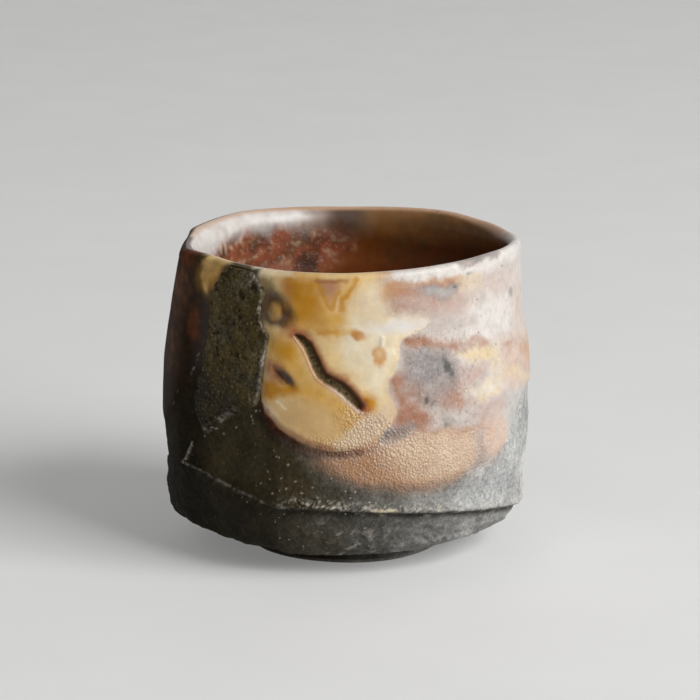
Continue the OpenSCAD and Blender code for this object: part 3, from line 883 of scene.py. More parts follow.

# Iron that gathered round the pool, with painted shade under its lower roll and along the cut's upper wall,
# and the dark round its bead
IRON_STROKES = [
    # painted shadow cast under the pool's fat lower roll, with a dark halo of iron
    Line("soot_and_shade", [(-27, 29.4), (-22, 26.4), (-17, 24.8), (-12, 23.6), (-8, 23)], 1.0, 0.6),
    Line("umber", [(-26.6, 31), (-24.6, 29), (-21, 27.2), (-17, 25.8), (-13, 24.8), (-9, 24), (-5, 23.6),
                   (0, 23.5), (4, 23.8)], 0.65, 0.95),
    Line("rust", [(-24.6, 30), (-20.4, 28.2), (-14.6, 26.3), (-10, 25.3), (-4, 24.6)], 0.5, 0.55),
    Oval("umber", 2, 23.9, 3.2, 0.6, 5, 0.9, 0.55),
    Line("mauve", [(1, 23.9), (5, 24.6), (9, 25.4)], 0.7, 0.5),
    # dark red-brown along the first cut's upper edge: iron, with painted shade of its steep upper wall
    Line("rust", [(-16.4, 43.8), (-13, 43.7), (-10.6, 42.4), (-8.7, 40.6), (-7, 38.8), (-5.4, 37.5),
                  (-3, 36.9), (-0.4, 36.1), (2, 34.8), (4, 33.2), (5.6, 31.8)], 0.7, 0.7),
    Line("umber", [(-14.6, 43.4), (-11.4, 42.4), (-9.4, 40.7), (-7.6, 38.8), (-6, 37.4), (-3.6, 36.7),
                   (-1, 36), (1.2, 35), (3.4, 33.5), (5.2, 31.8)], 0.4, 0.7),
    Oval("mauve", -22.4, 37.4, 2.2, 1.4, -20, 0.8, 0.6),
    Oval("rust", -20.4, 37.2, 2.4, 1.3, -30, 0.8, 0.7),
    Oval("umber", -18.8, 36.5, 2.1, 0.95, -34, 0.7, 1.0),
    Area("crust", [(-28, 53), (-24, 53), (-21.4, 51), (-19, 49.4), (-17.4, 48), (-16.8, 46.4), (-20, 45.2),
                   (-23, 44.8), (-27, 45.4), (-28, 49)], 0.9, 0.65),
    Oval("umber", -18.2, 46.6, 1.7, 1.3, 0, 0.8, 0.85),
    Area("umber", [(-27, 51), (-22, 50.6), (-19, 48.8), (-17.6, 47), (-20, 45.4), (-25, 45.2), (-27.4, 47)],
         0.9, 0.8),
    Oval("honey", BEAD[0], BEAD[1], 1.25, 1.5, 0, 0.4, 0.4),
    Oval("cream", BEAD[0], BEAD[1], 0.9, 1.1, 0, 0.6, 0.15),
    Area("pale", [(-29.6, 55), (-18, 55), (-16, 53.5), (-24, 53.1), (-28.6, 52.8)], 0.5, 0.6),
]


# Sizes of the lumps by which a stroke's edge wanders, in millimetres, and how far it does across and up
WANDER = [(4, 0.5, 0.45), (1.3, 0.3, 0.3), (0.6, 0.16, 0.16)]
# Pale crumbs and painted highlight on the lit edges of the left facets: line, half width, the noise from
# which crumbs show, and strength
PALE_AND_LIT_EDGES = [(TORN_EDGE, 0.5, -0.2, 0.5), (LEFT_EDGE, 0.25, 0.3, 0.4), (CORNER_EDGE, 0.2, -0.9, 0.6)]
# Mottle of the coat behind: colour, size of its lumps and strength
BACK_MOTTLE = [("mauve", 8, 0.45), ("milk", 6, 0.6), ("slate", 4, 0.35), ("straw", 5, 0.4)]
# Colours along the crest of the lip: from and to which turn, how softly and how strongly
LIP_TURNS = [
    # white on the right: glaze with painted highlight on the lit crest
    ("white", 26, 100, 12, 1.0),
    ("lilac", 38, 62, 8, 0.8),
    ("ochre", 104, 200, 12, 0.5),
    ("ochre", -200, -150, 14, 0.5),
    # the left lip's bistre is partly painted shade of the side away from the window
    ("bistre", -98, -54, 4, 0.9),
    ("rust", -66, -55, 3, 0.4),
    ("cream", -54, -40, 1.5, 0.9),
    ("crust", -40.5, -31, 1.5, 0.85),
    ("pale", -31, -19, 1.5, 0.6),
    ("ochre", -20, 14, 6, 0.6),
    ("mauve", -12, 10, 8, 0.3),
]


def painted(turn, height, fired, strokes, colours, seed, ragged=1.0):
    """Fired colour with strokes laid over it in order, their edges wandering and their fill cloudy."""
    points = wall_points(turn, height)
    for step, (size, across, up) in enumerate(WANDER):
        turn = turn + ragged * across * lumps(points, size, seed + step) / WALL_R
        height = height + ragged * up * lumps(points, size, seed + len(WANDER) + step)
    cloud = 1 + 0.3 * ragged * lumps(points, 2.2, seed + 2 * len(WANDER))
    layers = ((stroke.colour, stroke.cover(turn, height) * cloud) for stroke in strokes)
    return layered(fired, colours, layers)


def pale_and_lit_edges(turn, height, fired, colours):
    """Fired colour with pale crumbs and painted highlight on the torn and crumbling edges of the left
    facets, where they catch the light.
    """
    points = wall_points(turn, height)
    broken = 0.6 * lumps(points, 0.5, 24) + lumps(points, 2.4, 28)
    for line, half, from_noise, strength in PALE_AND_LIT_EDGES:
        distance = line_distance(turn, height, line)[0] + 0.3 * lumps(points, 0.7, 25)
        crumbs = smoothstep(from_noise, from_noise + 0.5, broken)
        fired = tint(fired, colours.fleck, strength * crumbs * smoothstep(half * 1.8, half * 0.3, distance))
    return fired


def clay_colour(turn, height, colours):
    """Bare clay: grey in front, browned to the left, darkened further left by smoke and painted shade of
    the shaded side, pale with ash dust on the right.
    """
    points = wall_points(turn, height)
    degrees = np.degrees(turn)
    wander = 8 * lumps(points, 6, 31) + 4 * lumps(points, 2, 32)
    return layered(np.array(colours.clay), colours, [
        ("dust", smoothstep(6, 54, degrees + wander) * smoothstep(150, 100, degrees)),
        ("loam", smoothstep(6, -14, degrees + wander) * smoothstep(-178, -130, degrees)),
        # smoke and painted shade: the far left is darkened for the side away from the window
        ("soot_and_shade", 0.85 * smoothstep(-46, -58, degrees + 0.5 * wander) * smoothstep(-170, -120, degrees)),
    ])


def outside_colour(turn, height, colours):
    """Fired colour of the outside: bare clay, dipped coat, pool, spatula cuts and the iron round them, with
    painted light and shade on the cuts' banks, under the pool's roll and on the lit edges.
    """
    points = wall_points(turn, height)
    degrees = np.degrees(turn)
    clay = clay_colour(turn, height, colours)
    coat = painted(turn, height, clay, COAT_STROKES, colours, 41, 1.6)
    shaded = span(degrees, *SHADED_SIDE)
    behind = smoothstep(76, 110, np.abs(degrees)) * (1 - 0.8 * shaded)
    coat = layered(coat, colours, [
        (name, strength * behind * smoothstep(0.1, 0.6, grit(points, size, 80 + size)))
        for name, size, strength in BACK_MOTTLE
    ])
    coat *= 1 + ((0.05 + 0.6 * shaded) * grit(points, 1.5, 58))[:, None]
    fired = tint(clay, coat, smoothstep(-2.0, 3.2, coat_depth(turn, height) + 0.8 * lumps(points, 0.6, 59)))
    depth = pool_depth(turn, height)
    soft = mix(0.35, 2.6, smoothstep(4, 11, degrees) * smoothstep(45.6, 47.4, height))
    creamy = tint(coat, colours.cream, smoothstep(-0.15 - soft, 0.25 + soft, depth))
    pool = painted(turn, height, creamy, POOL_STROKES, colours, 41)
    core, bank = spatula_cuts(turn, height)
    # painted shade on the upper banks in rust, painted highlight on the lower banks in mauve and milk
    fired = layered(tint(fired, pool, smoothstep(-soft, soft, depth)), colours, [
        ("rust", 0.8 * bank),
        ("mauve", -0.75 * bank),
        ("milk", -0.5 * bank * smoothstep(-8, -2, degrees)),
    ])
    fired = painted(turn, height, fired, IRON_STROKES, colours, 41)
    scraped = 0.85 + 0.25 * lumps(points, 0.45, 29)
    fired = tint(fired, colours.loam, scraped * smoothstep(0.25, 0.55, core))
    return np.clip(pale_and_lit_edges(turn, height, fired, colours), 0, 1)


def outside_finish(turn, height):
    """Pebbling, gloss and speckle of the outside, each from 0 to 1."""
    degrees = np.degrees(turn)
    depth = coat_depth(turn, height)
    coat = smoothstep(0.0, 4.0, depth)
    pool = smoothstep(0.0, 1.0, pool_depth(turn, height))
    low = smoothstep(28, 25, height) * span(degrees, *PEBBLED_COAT)
    golden = smoothstep(32.5, 29, height + 0.25 * degrees - 2) * span(degrees, *PEBBLED_POOL)
    pebbled = np.maximum(low, golden) * np.maximum(smoothstep(-1, 2, depth), pool)
    cloud = span(degrees, *CLOUDED_COAT) * span(height, 25, 27, 43, 46)
    cloud = np.maximum(cloud, 0.4 * coat * smoothstep(8, 16, degrees)) * (1 - pool) * (1 - pebbled)
    gloss = np.maximum(0.75 * coat * (1 - 0.45 * cloud), 0.95 * np.maximum(pool, pebbled))
    gloss *= 1 - 0.9 * smoothstep(0.3, 0.5, spatula_cuts(turn, height)[0])
    gloss *= mix(0.05, 1, smoothstep(-62, -44, degrees))
    return np.column_stack([pebbled, gloss, cloud])


# Inside, turns are counted from the back, and positive to the left as seen from the front
EMBER = Area("ember", [(2, 50), (-3, 47.4), (3, 44.8), (9, 41), (12, 30), (100, 30), (125, 44), (105, 54),
                       (40, 54)], 2.6, 0.9)
BOWL_STROKES = [
    Area("umber", [(-130, 49.6), (-60, 48.6), (-34, 46.6), (-24, 44), (-24, 34), (-130, 34)], 3.0, 0.5),
    Area("loam", [(-130, 57.5), (-6, 57.5), (-6, 51), (-30, 50), (-60, 50.6), (-130, 53)], 2.4, 0.55),
    Area("tan", [(-34, 57.5), (-6, 57.5), (-8, 53.4), (-28, 53.6)], 1.6, 0.25),
    # painted light: ochre lifts the top of the back right wall, where more light fell over the lip
    Area("ochre", [(-85, 57.5), (-4, 57.5), (-6, 50.8), (-30, 49.4), (-60, 50.6), (-85, 53.4)], 2.0, 0.3),
    Area("rust", [(-46, 46), (8, 46.6), (12, 30), (-46, 30)], 3.0, 0.35),
    Area("clay", [(-10, 57.5), (6, 57.5), (7, 51.4), (-2, 49.6), (-9, 51)], 2.6, 0.5),
    Area("umber", [(-3, 51.6), (3, 51.8), (6, 47.4), (-1, 46.4)], 1.6, 0.45),
    Area("milk", [(5, 57.5), (20, 57.5), (20, 51.2), (9, 51.6)], 3.0, 0.6),
    Area("white", [(16, 57.5), (150, 58), (135, 54), (110, 51), (90, 49.4), (74, 48), (64, 48.8),
                   (57, 50.6), (50, 51.4), (40, 51.6), (30, 51.4), (22, 51.8), (16, 53)], 1.7, 0.97),
    Oval("slate", 32, 51.2, 1.3, 1.5, 0, 0.8, 0.5),
    Oval("slate", 48.6, 51, 1.8, 0.9, -20, 0.8, 0.45),
    Oval("pale", 54.6, 49.7, 0.45, 1.1, -10, 0.6, 0.5),
    Oval("pale", 57.6, 49.4, 0.4, 1.0, -10, 0.6, 0.5),
    Area("umber", [(11, 46.4), (17, 46.8), (20.6, 45), (19, 42.6), (11, 42.6)], 0.9, 0.85),
    Oval("umber", 35, 44.8, 3, 0.8, 0, 0.8, 0.5),
]


def embers(turn, height):
    """Where the bowl's red mottle shows, from 0 to 1."""
    return EMBER.cover(turned(turn, 180), height)


def inside_colour(turn, radius, height, colours):
    """Fired colour of the bowl: red, milky by the lip on the left, brown on the right and below, with
    painted light along the top of the back right wall.
    """
    points = surface_points(turn, radius, height)
    back = turned(turn, 180)
    fired = painted(back, height, np.array(colours.sienna), [EMBER], colours, 53)
    golden = 0.6 * smoothstep(41, 50, height) * embers(turn, height)
    fired = layered(fired, colours, [
        ("straw", golden * smoothstep(0.0, 0.6, grit(points, 1.9, 51))),
        ("umber", 0.6 * smoothstep(0.0, 0.55, grit(points, 2.4, 57))),
        ("loam", 0.45 * smoothstep(0.0, 0.5, grit(points, 5, 55))),
    ])
    shown = painted(back, height, fired, BOWL_STROKES, colours, 53)
    return tint(fired, shown, smoothstep(30, 40, height))


def lip_colour(turn, colours):
    """Thin glaze on the crest of the lip, by turns, peach where no other colour lies; its white on the
    right is partly painted highlight.
    """
    degrees = np.degrees(turn) + 1.5 * lumps(wall_points(turn, 54), 2.5, 71)
    return layered(np.array(colours.peach), colours, [
        (name, strength * span(degrees, low - soft, low + soft, high - soft, high + soft))
        for name, low, high, soft, strength in LIP_TURNS
    ])


def ridge_colour(turn, radius, height, colours):
    """Clay colour, smoked and in painted shade below the ridge on the left, with painted shadow under the
    ridge's overhang, pale crumbs and painted highlight on its left edge, pale ash and painted highlight on
    the lower right corner, and a pale chip, grains and crumbs on the ridge's edge.
    """
    points = surface_points(turn, radius, height)
    degrees = np.degrees(turn)
    above = height - ridge_height(turn)
    below = smoothstep(0.1, -0.4, above)
    bare = tint(clay_colour(turn, height, colours), colours.clay, 0.4)
    fired = tint(outside_colour(turn, height, colours), bare, below)
    crumbs = smoothstep(-0.05, 0.5, lumps(points, 0.5, 33) + 0.5 * lumps(points, 1.8, 35))
    sandy = smoothstep(0.15, 0.6, grit(points, 1.7, 40))
    edge = bell(above - 0.1, 0.22) * smoothstep(-0.4, 0.4, lumps(points, 0.9, 34))
    ash_and_light = smoothstep(19, 16, height) * (1 - below)
    fired = layered(fired, colours, [
        # painted shadow in the undercut just below the ridge's overhang
        ("soot_and_shade", 0.8 * bell(above + 0.8, 0.7) * span(degrees, *SHADOWED_UNDER_RIDGE)),
        ("fleck", 0.4 * below * sandy * span(degrees, *FLECKED_BAND)),
        # smoke and painted shade on the band below the ridge, on the shaded left
        ("soot_and_shade", 0.8 * below * span(degrees, *SMOKED_AND_SHADED_BAND)),
        # pale grains and painted highlight along the ridge's lit left edge
        ("fleck", 0.5 * edge * span(degrees, *PALE_AND_LIT_RIDGE)),
        ("fleck", 0.75 * bell(above - 0.6, 0.9) * crumbs * span(degrees, *CRUMBED_RIDGE)),
        # pale ash and painted highlight on the lit lower right corner
        ("white", 0.6 * ash_and_light * span(degrees, *ASHED_AND_LIT_CORNER)),
    ])
    for *spot, size in GRAINS:
        distance = spot_distance(turn, height, spot, reach=1.0)
        fired = tint(fired, colours.fleck, 0.8 * smoothstep(size, 0.4 * size, distance))
    chip = spot_distance(turn, height, *CHIP) + 0.25 * lumps(points, 0.7, 37)
    return tint(fired, colours.pale, 0.8 * smoothstep(0.45, 0.1, chip))


def clay_finish(turn):
    """How thickly pale grains lie on the clay, most in front. Nothing else of the finish shows on clay."""
    grainy = 0.15 + 0.85 * span(np.degrees(turn), *GRAINY_FRONT)
    return np.column_stack([grainy, 0 * grainy, 0 * grainy])


def crust_colour(turn, height, colours):
    """Olive ash, browner at its foot, darker to the left and in its dips and pits as painted shade, paler
    along its seams.
    """
    points = wall_points(turn, height)
    degrees = np.degrees(turn)
    foot = smoothstep(36, 30, height + 0.25 * (degrees + 40) + 2 * lumps(points, 4, 61))
    fired = layered(np.array(colours.crust), colours, [
        ("clay", 0.35 * smoothstep(-0.1, 0.6, grit(points, 5, 64))),
        ("soot_and_shade", 0.68 * foot),
        # painted shade: darker towards the shaded left
        ("soot_and_shade", 0.7 * smoothstep(-50, -56, degrees + 4 * lumps(points, 3, 63))),
        # painted shade in the dips that crust_proud carves with the same lumps
        ("soot_and_shade", 0.5 * smoothstep(0.3, 0.6, lumps(points, 0.9, 66))),
    ])
    fine = 0.5 + 0.5 * smoothstep(-0.3, 0.5, lumps(points, 0.5, 62))
    grains = fine * (0.7 + 0.9 * lumps(points, 2.5, 65))
    for seam, half, lift in CRUST_SEAMS:
        distance, _ = line_distance(turn, height, seam)
        near = smoothstep(2.0 * half, 0.2 * half, distance)
        fired = tint(fired, colours.fleck, 1.2 * lift * grains * near)
    for *spot, size in BUBBLE_PITS:
        distance = spot_distance(turn, height, spot, PIT_DASH)
        # painted shade in the pits of burst bubbles
        fired = tint(fired, colours.soot_and_shade, 0.6 * smoothstep(size * 1.1, size * 0.4, distance))
    return pale_and_lit_edges(turn, height, fired, colours)


# Making a mesh

# Columns of a skin that goes all the way round, and how much closer they stand at the front
COLUMNS = 512
FRONT_BIAS = 0.36


class Skin:
    """A spun skin for a node: runs of rows along its outline, each placed by turn and share."""

    def __init__(self, node, runs, closed=True, columns=COLUMNS, sweep=None, bias=FRONT_BIAS):
        self.node = node
        full = sweep is None
        start, end = (math.radians(angle) for angle in sweep or (-180, 180))
        bm = bmesh.new()
        rows = sum(count for count, _ in runs)
        outline = [bm.verts.new((math.cos(start), math.sin(start), row)) for row in range(rows)]
        edges = [bm.edges.new(pair) for pair in zip(outline, outline[1:])]
        if closed:
            edges.append(bm.edges.new((outline[-1], outline[0])))
        bmesh.ops.spin(bm, geom=outline + edges, cent=(0, 0, 0), axis=(0, 0, 1), angle=end - start,
                       steps=columns, use_merge=full)
        self.mesh = bpy.data.meshes.new(f"{node}_mesh")
        bm.to_mesh(self.mesh)
        bm.free()
        co = np.empty(len(self.mesh.vertices) * 3)
        self.mesh.vertices.foreach_get("co", co)
        co = co.reshape(-1, 3)
        spun = np.arctan2(co[:, 1], co[:, 0])
        self.turn = spun - bias * np.sin(spun) if full else spun
        self.row = np.rint(co[:, 2]).astype(int)
        self.radius = np.zeros(len(co))
        self.height = np.zeros(len(co))
        first = 0
        for count, place in runs:
            at = (self.row >= first) & (self.row < first + count)
            share = (self.row[at] - first) / (count - 1)
            self.radius[at], self.height[at] = place(self.turn[at], share)
            first += count

    def keep(self, name, values):
        """Stores one colour or three values for each vertex as an attribute that the material reads."""
        layer = self.mesh.attributes.new(name, "FLOAT_COLOR", "POINT")
        layer.data.foreach_set("color", np.column_stack([values, np.ones(len(values))]).ravel())

    def finish(self, material, slot):
        """Moves the vertices into place, closes the mesh and gives it to the frame in the node's place."""
        co = surface_points(self.turn, self.radius, self.height) * MM
        self.mesh.vertices.foreach_set("co", co.ravel())
        bm = bmesh.new()
        bm.from_mesh(self.mesh)
        bmesh.ops.remove_doubles(bm, verts=bm.verts, dist=1e-7)
        open_edges = [e for e in bm.edges if e.is_boundary]
        if open_edges:
            bmesh.ops.holes_fill(bm, edges=open_edges, sides=0)
        bmesh.ops.recalc_face_normals(bm, faces=bm.faces)
        for face in bm.faces:
            face.smooth = True
        bm.to_mesh(self.mesh)
        bm.free()
        self.mesh.materials.append(material)
        piece = bpy.data.objects.new(self.mesh.name, self.mesh)
        bpy.context.scene.collection.objects.link(piece)
        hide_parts(self.node)
        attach(piece, BODY)


def coat_runs(rows, low, proud, reach=1.0, thins=0.0, lift=0.1, deep=(1.5, 1.5), room=0.0):
    """Runs of rows for a coat that goes up the wall from low, over the lip and down again inside the clay.

    It covers the lip as far as reach and thins out there as thins says. Its inner face goes from one depth
    at the top to another at the foot, ends lift above low, and leaves room for the spatula's cuts.
    """
    def outside(turn, t):
        level = mix(low(turn), shoulder(turn), t)
        return wall_radius(turn, level) + proud(turn, level), level

    def over(turn, t):
        edge = mix(proud(turn, shoulder(turn)), -0.3, thins * t)
        return lip_place(turn, COAT_END * reach * t, mix(edge, -0.15, smoothstep(0.86, 1, reach * t)))

    def inside(turn, t):
        level = mix(shoulder(turn) - 0.2, low(turn) + lift, t)
        return wall_radius(turn, level) - mix(*deep, t) - room * spatula_room(turn, level), level

    return list(zip(rows, (outside, over, inside)))


# Materials

def add(tree, kind, inputs=(), **settings):
    """Adds a shader node with its settings, and sets its inputs, given in order or by name.

    An input that is a socket is linked, and one that is a node is linked to that node's first output.
    """
    made = tree.nodes.new("ShaderNode" + kind)
    for key, value in settings.items():
        setattr(made, key, value)
    if isinstance(inputs, dict):
        pairs = [(made.inputs[key], value) for key, value in inputs.items()]
    else:
        pairs = zip([socket for socket in made.inputs if socket.enabled], inputs)
    for socket, value in pairs:
        if isinstance(value, bpy.types.Node):
            value = next(output for output in value.outputs if output.enabled)
        if isinstance(value, bpy.types.NodeSocket):
            tree.links.new(value, socket)
        else:
            socket.default_value = value
    return made


def new_material(name):
    """An empty node material, its tree and the place on the object that its patterns start from."""
    material = bpy.data.materials.new(name)
    material.use_nodes = True
    tree = material.node_tree
    tree.nodes.clear()
    return material, tree, add(tree, "TexCoord").outputs["Object"]


def per_mm(size):
    """A texture scale that makes a pattern's step a size in millimetres."""
    return 1 / (size * MM)


def rgba(colour):
    """A colour with full cover, as colour sockets take it."""
    return (*colour, 1.0)


def bare_stoneware(name, colours):
    """Coarse iron-rich stoneware, fired without glaze: dry and sandy, with pale grains that stand out."""
    material, tree, place = new_material(name)
    fired = add(tree, "Attribute", attribute_name="fired")
    clouds = add(tree, "TexNoise", {"Vector": place, "Scale": per_mm(4.5), "Detail": 4.0})
    shade = add(tree, "MapRange", [clouds, 0.3, 0.7, 0.72, 1.22])
    sand = add(tree, "TexNoise", {"Vector": place, "Scale": per_mm(0.7), "Detail": 3.0, "Roughness": 0.7})
    sanded = add(tree, "MapRange", [sand, 0.35, 0.68, 0.7, 1.3])
    both = add(tree, "Math", [shade, sanded], operation="MULTIPLY")
    toned = add(tree, "Mix", [1.0, fired, both], data_type="RGBA", blend_type="MULTIPLY")
    # pale grains, each of a size of its own, as thick as the finish says
    cells = add(tree, "TexVoronoi", {"Vector": place, "Scale": per_mm(0.8)})
    some = add(tree, "SeparateColor", [cells.outputs["Color"]])
    size = add(tree, "MapRange", [some, 0.6, 1.0, 0.0, 0.32])
    grain = add(tree, "Math", [size, cells], operation="SUBTRACT")
    grains = add(tree, "MapRange", [grain, 0.0, 0.16, 0.0, 0.75])
    finish = add(tree, "SeparateColor", [add(tree, "Attribute", attribute_name="finish")])
    sown = add(tree, "Math", [grains, finish.outputs["Red"]], operation="MULTIPLY")
    flecked = add(tree, "Mix", [sown, toned, rgba(colours.fleck)], data_type="RGBA")
    relief = add(tree, "Math", [sown, 1.0, sand], operation="MULTIPLY_ADD")
    bump = add(tree, "Bump", {"Height": relief, "Distance": 0.3 * MM, "Strength": 1.0})
    shader = add(tree, "BsdfPrincipled", {
        "Base Color": flecked, "Roughness": 0.72, "Specular IOR Level": 0.07, "Normal": bump})
    add(tree, "OutputMaterial", [shader])
    return material


def fused_glaze(name, colours, dull, bright):
    """Feldspar glaze fused on stoneware: a glassy, pinholed skin, mottled below, in parts pebbled."""
    material, tree, place = new_material(name)
    fired = add(tree, "Attribute", attribute_name="fired")
    finish = add(tree, "SeparateColor", [add(tree, "Attribute", attribute_name="finish")])
    pebbling, gloss, speckle = finish.outputs
    mottle = add(tree, "TexNoise", {
        "Vector": place, "Scale": per_mm(1.8), "Detail": 6.0, "Roughness": 0.62})
    shade = add(tree, "MapRange", [mottle, 0.3, 0.7, 0.9, 1.09])
    glazed = add(tree, "Mix", [1.0, fired, shade], data_type="RGBA", blend_type="MULTIPLY")
    specks = add(tree, "TexNoise", {
        "Vector": place, "Scale": per_mm(0.75), "Detail": 3.0, "Roughness": 0.7})
    cells = add(tree, "TexVoronoi", {"Vector": place, "Scale": per_mm(0.42), "Smoothness": 0.4},
                feature="SMOOTH_F1")
    holes = add(tree, "TexVoronoi", {"Vector": place, "Scale": per_mm(3.0)})
    some = add(tree, "SeparateColor", [holes.outputs["Color"]])
    few = add(tree, "Math", [some.outputs["Green"], 0.8], operation="GREATER_THAN")
    # pale and dark specks of the carbon-grey clouds, brown valleys of the fine pebbling, partly painted
    # shade in these valleys, and pinholes
    for pattern, start, full, strength, where, colour in (
        (specks, 0.54, 0.72, 0.3, speckle, colours.white),
        (specks, 0.46, 0.3, 0.5, speckle, colours.clay),
        (cells, 0.3, 0.6, 0.3, pebbling, colours.mauve),
        (holes, 0.085, 0.04, 0.6, few, colours.umber),
    ):
        shown = add(tree, "MapRange", [pattern, start, full, 0.0, strength])
        cover = add(tree, "Math", [shown, where], operation="MULTIPLY")
        glazed = add(tree, "Mix", [cover, glazed, rgba(colour)], data_type="RGBA")
    rough = add(tree, "MapRange", {"Value": gloss, "To Min": dull, "To Max": bright})
    sheen = add(tree, "MapRange", {"Value": gloss, "To Min": 0.03, "To Max": 0.42})
    dome = add(tree, "Math", [0.75, cells], operation="SUBTRACT")
    pebbles = add(tree, "Math", [dome, pebbling], operation="MULTIPLY")
    crystals = add(tree, "Math", [specks, speckle, pebbles], operation="MULTIPLY_ADD")
    low_bump = add(tree, "Bump", {"Height": mottle, "Distance": 0.08 * MM, "Strength": 0.6})
    bump = add(tree, "Bump", {
        "Height": crystals, "Distance": 0.24 * MM, "Strength": 1.0, "Normal": low_bump})
    shader = add(tree, "BsdfPrincipled", {
        "Base Color": glazed, "Roughness": rough, "Specular IOR Level": sheen, "Normal": bump})
    add(tree, "OutputMaterial", [shader])
    return material


def fused_ash(name, colours):
    """Kiln ash, half melted onto the clay: a dull olive crust, pitted, with pale unmelted grains."""
    material, tree, place = new_material(name)
    fired = add(tree, "Attribute", attribute_name="fired")
    clouds = add(tree, "TexNoise", {
        "Vector": place, "Scale": per_mm(2.6), "Detail": 6.0, "Roughness": 0.68})
    shade = add(tree, "MapRange", [clouds, 0.34, 0.66, 0.5, 1.5])
    toned = add(tree, "Mix", [1.0, fired, shade], data_type="RGBA", blend_type="MULTIPLY")
    froth = add(tree, "TexVoronoi", {"Vector": place, "Scale": per_mm(0.8)})
    dust = add(tree, "TexNoise", {"Vector": place, "Scale": per_mm(0.5), "Detail": 4.0, "Roughness": 0.75})
    pores = add(tree, "MapRange", [dust, 0.34, 0.5, 0.45, 1.0])
    pored = add(tree, "Mix", [1.0, toned, pores], data_type="RGBA", blend_type="MULTIPLY")
    grains = add(tree, "MapRange", [dust, 0.56, 0.74, 0.0, 0.5])
    flecked = add(tree, "Mix", [grains, pored, rgba(colours.fleck)], data_type="RGBA")
    relief = add(tree, "Math", [froth, dust], operation="ADD")
    bump = add(tree, "Bump", {"Height": relief, "Distance": 0.22 * MM, "Strength": 1.0})
    shader = add(tree, "BsdfPrincipled", {
        "Base Color": flecked, "Roughness": 0.5, "Specular IOR Level": 0.12, "Normal": bump})
    add(tree, "OutputMaterial", [shader])
    return material


def studio_paint(colours):
    """Flat pale paint: even and dull, with a glow that only the camera and mirror-like reflections see.

    The glow keeps the paint pale while the light on the object stays plain.
    """
    material, tree, place = new_material("Studio paint")
    grain = add(tree, "TexNoise", {"Vector": place, "Scale": per_mm(30), "Detail": 4.0})
    tone = add(tree, "MapRange", {"Value": grain, "To Min": 0.97, "To Max": 1.03})
    paint = add(tree, "Mix", [1.0, rgba(colours.floor), tone], data_type="RGBA", blend_type="MULTIPLY")
    rays = add(tree, "LightPath")
    seen = add(tree, "Math", [rays.outputs["Is Camera Ray"], rays.outputs["Is Glossy Ray"]],
               operation="MAXIMUM")
    glow = add(tree, "Math", [seen, 0.25], operation="MULTIPLY")
    shader = add(tree, "BsdfPrincipled", {
        "Base Color": paint, "Roughness": 0.75, "Emission Color": paint, "Emission Strength": glow})
    add(tree, "OutputMaterial", [shader])
    return material


# The pieces

class CUP_OT_clay_body(bpy.types.Operator):
    """Model the thrown and wire-cut clay body"""
    bl_idname = "cup.clay_body"
    bl_label = "Clay body"

    def execute(self, context):
        colours = context.scene.cup_colours
        skin = Skin("clay_body", [
            (8, lambda turn, t: (HOLLOW_R * t, HOLLOW_TOP + 0.3 * bell(HOLLOW_R * t, 5))),
            (3, lambda turn, t: (mix(HOLLOW_R + 0.4, SEAM_R - 0.4, t), FOOT_SEAT)),
            (56, band_place),
            (3, ledge_place),
            (106, clay_wall_place),
            (6, lambda turn, t: lip_place(turn, t * math.pi, 0.0)),
            (12, lambda turn, t: bowl_place(turn, 1 - t, GLAZE)),
        ], closed=False)
        skin.keep("fired", ridge_colour(skin.turn, skin.radius, skin.height, colours))
        skin.keep("finish", clay_finish(skin.turn))
        skin.finish(bare_stoneware("Bare stoneware", colours), "bare_stoneware")
        return {"FINISHED"}


class CUP_OT_foot_ring(bpy.types.Operator):
    """Model the foot ring that the cup stands on"""
    bl_idname = "cup.foot_ring"
    bl_label = "Foot ring"

    def execute(self, context):
        colours = context.scene.cup_colours
        outer = context.scene.cup_sizes.foot_radius / MM
        ease, top = 0.5, 4.2

        def edge(turn):
            return outer + 0.25 * np.sin(2 * turn + 0.6) + 0.14 * np.sin(5 * turn)

        skin = Skin("foot_ring", [
            (18, lambda turn, t: (mix(SEAM_R + 0.35, edge(turn), smoothstep(0, 1, t)), mix(top, ease, t))),
            (12, lambda turn, t: (mix(edge(turn), HOLLOW_R + ease, t),
                                  ease * (1 - span(t, 0, 0.14, 0.86, 1)))),
            (14, lambda turn, t: (HOLLOW_R + ease * (1 - t) - 0.3 * t, mix(ease, 3.6, t))),
            (4, lambda turn, t: (mix(HOLLOW_R + 0.6, SEAM_R - 0.4, t), top)),
        ], columns=256)
        points = surface_points(skin.turn, skin.radius, skin.height)
        skin.radius += 0.14 * grit(points, 2.0, 9) * smoothstep(0.2, 0.8, skin.height)
        worn = smoothstep(0.9, 0.3, skin.height)
        clay = clay_colour(skin.turn, skin.height, colours)
        # painted shade: the foot's clay darkened for the shade under the cup; the fleck is wear on its seat
        skin.keep("fired", layered(clay, colours, [("soot_and_shade", 0.6), ("fleck", 0.4 * worn)]))
        skin.keep("finish", clay_finish(skin.turn))
        skin.finish(bare_stoneware("Foot stoneware", colours), "foot_stoneware")
        return {"FINISHED"}


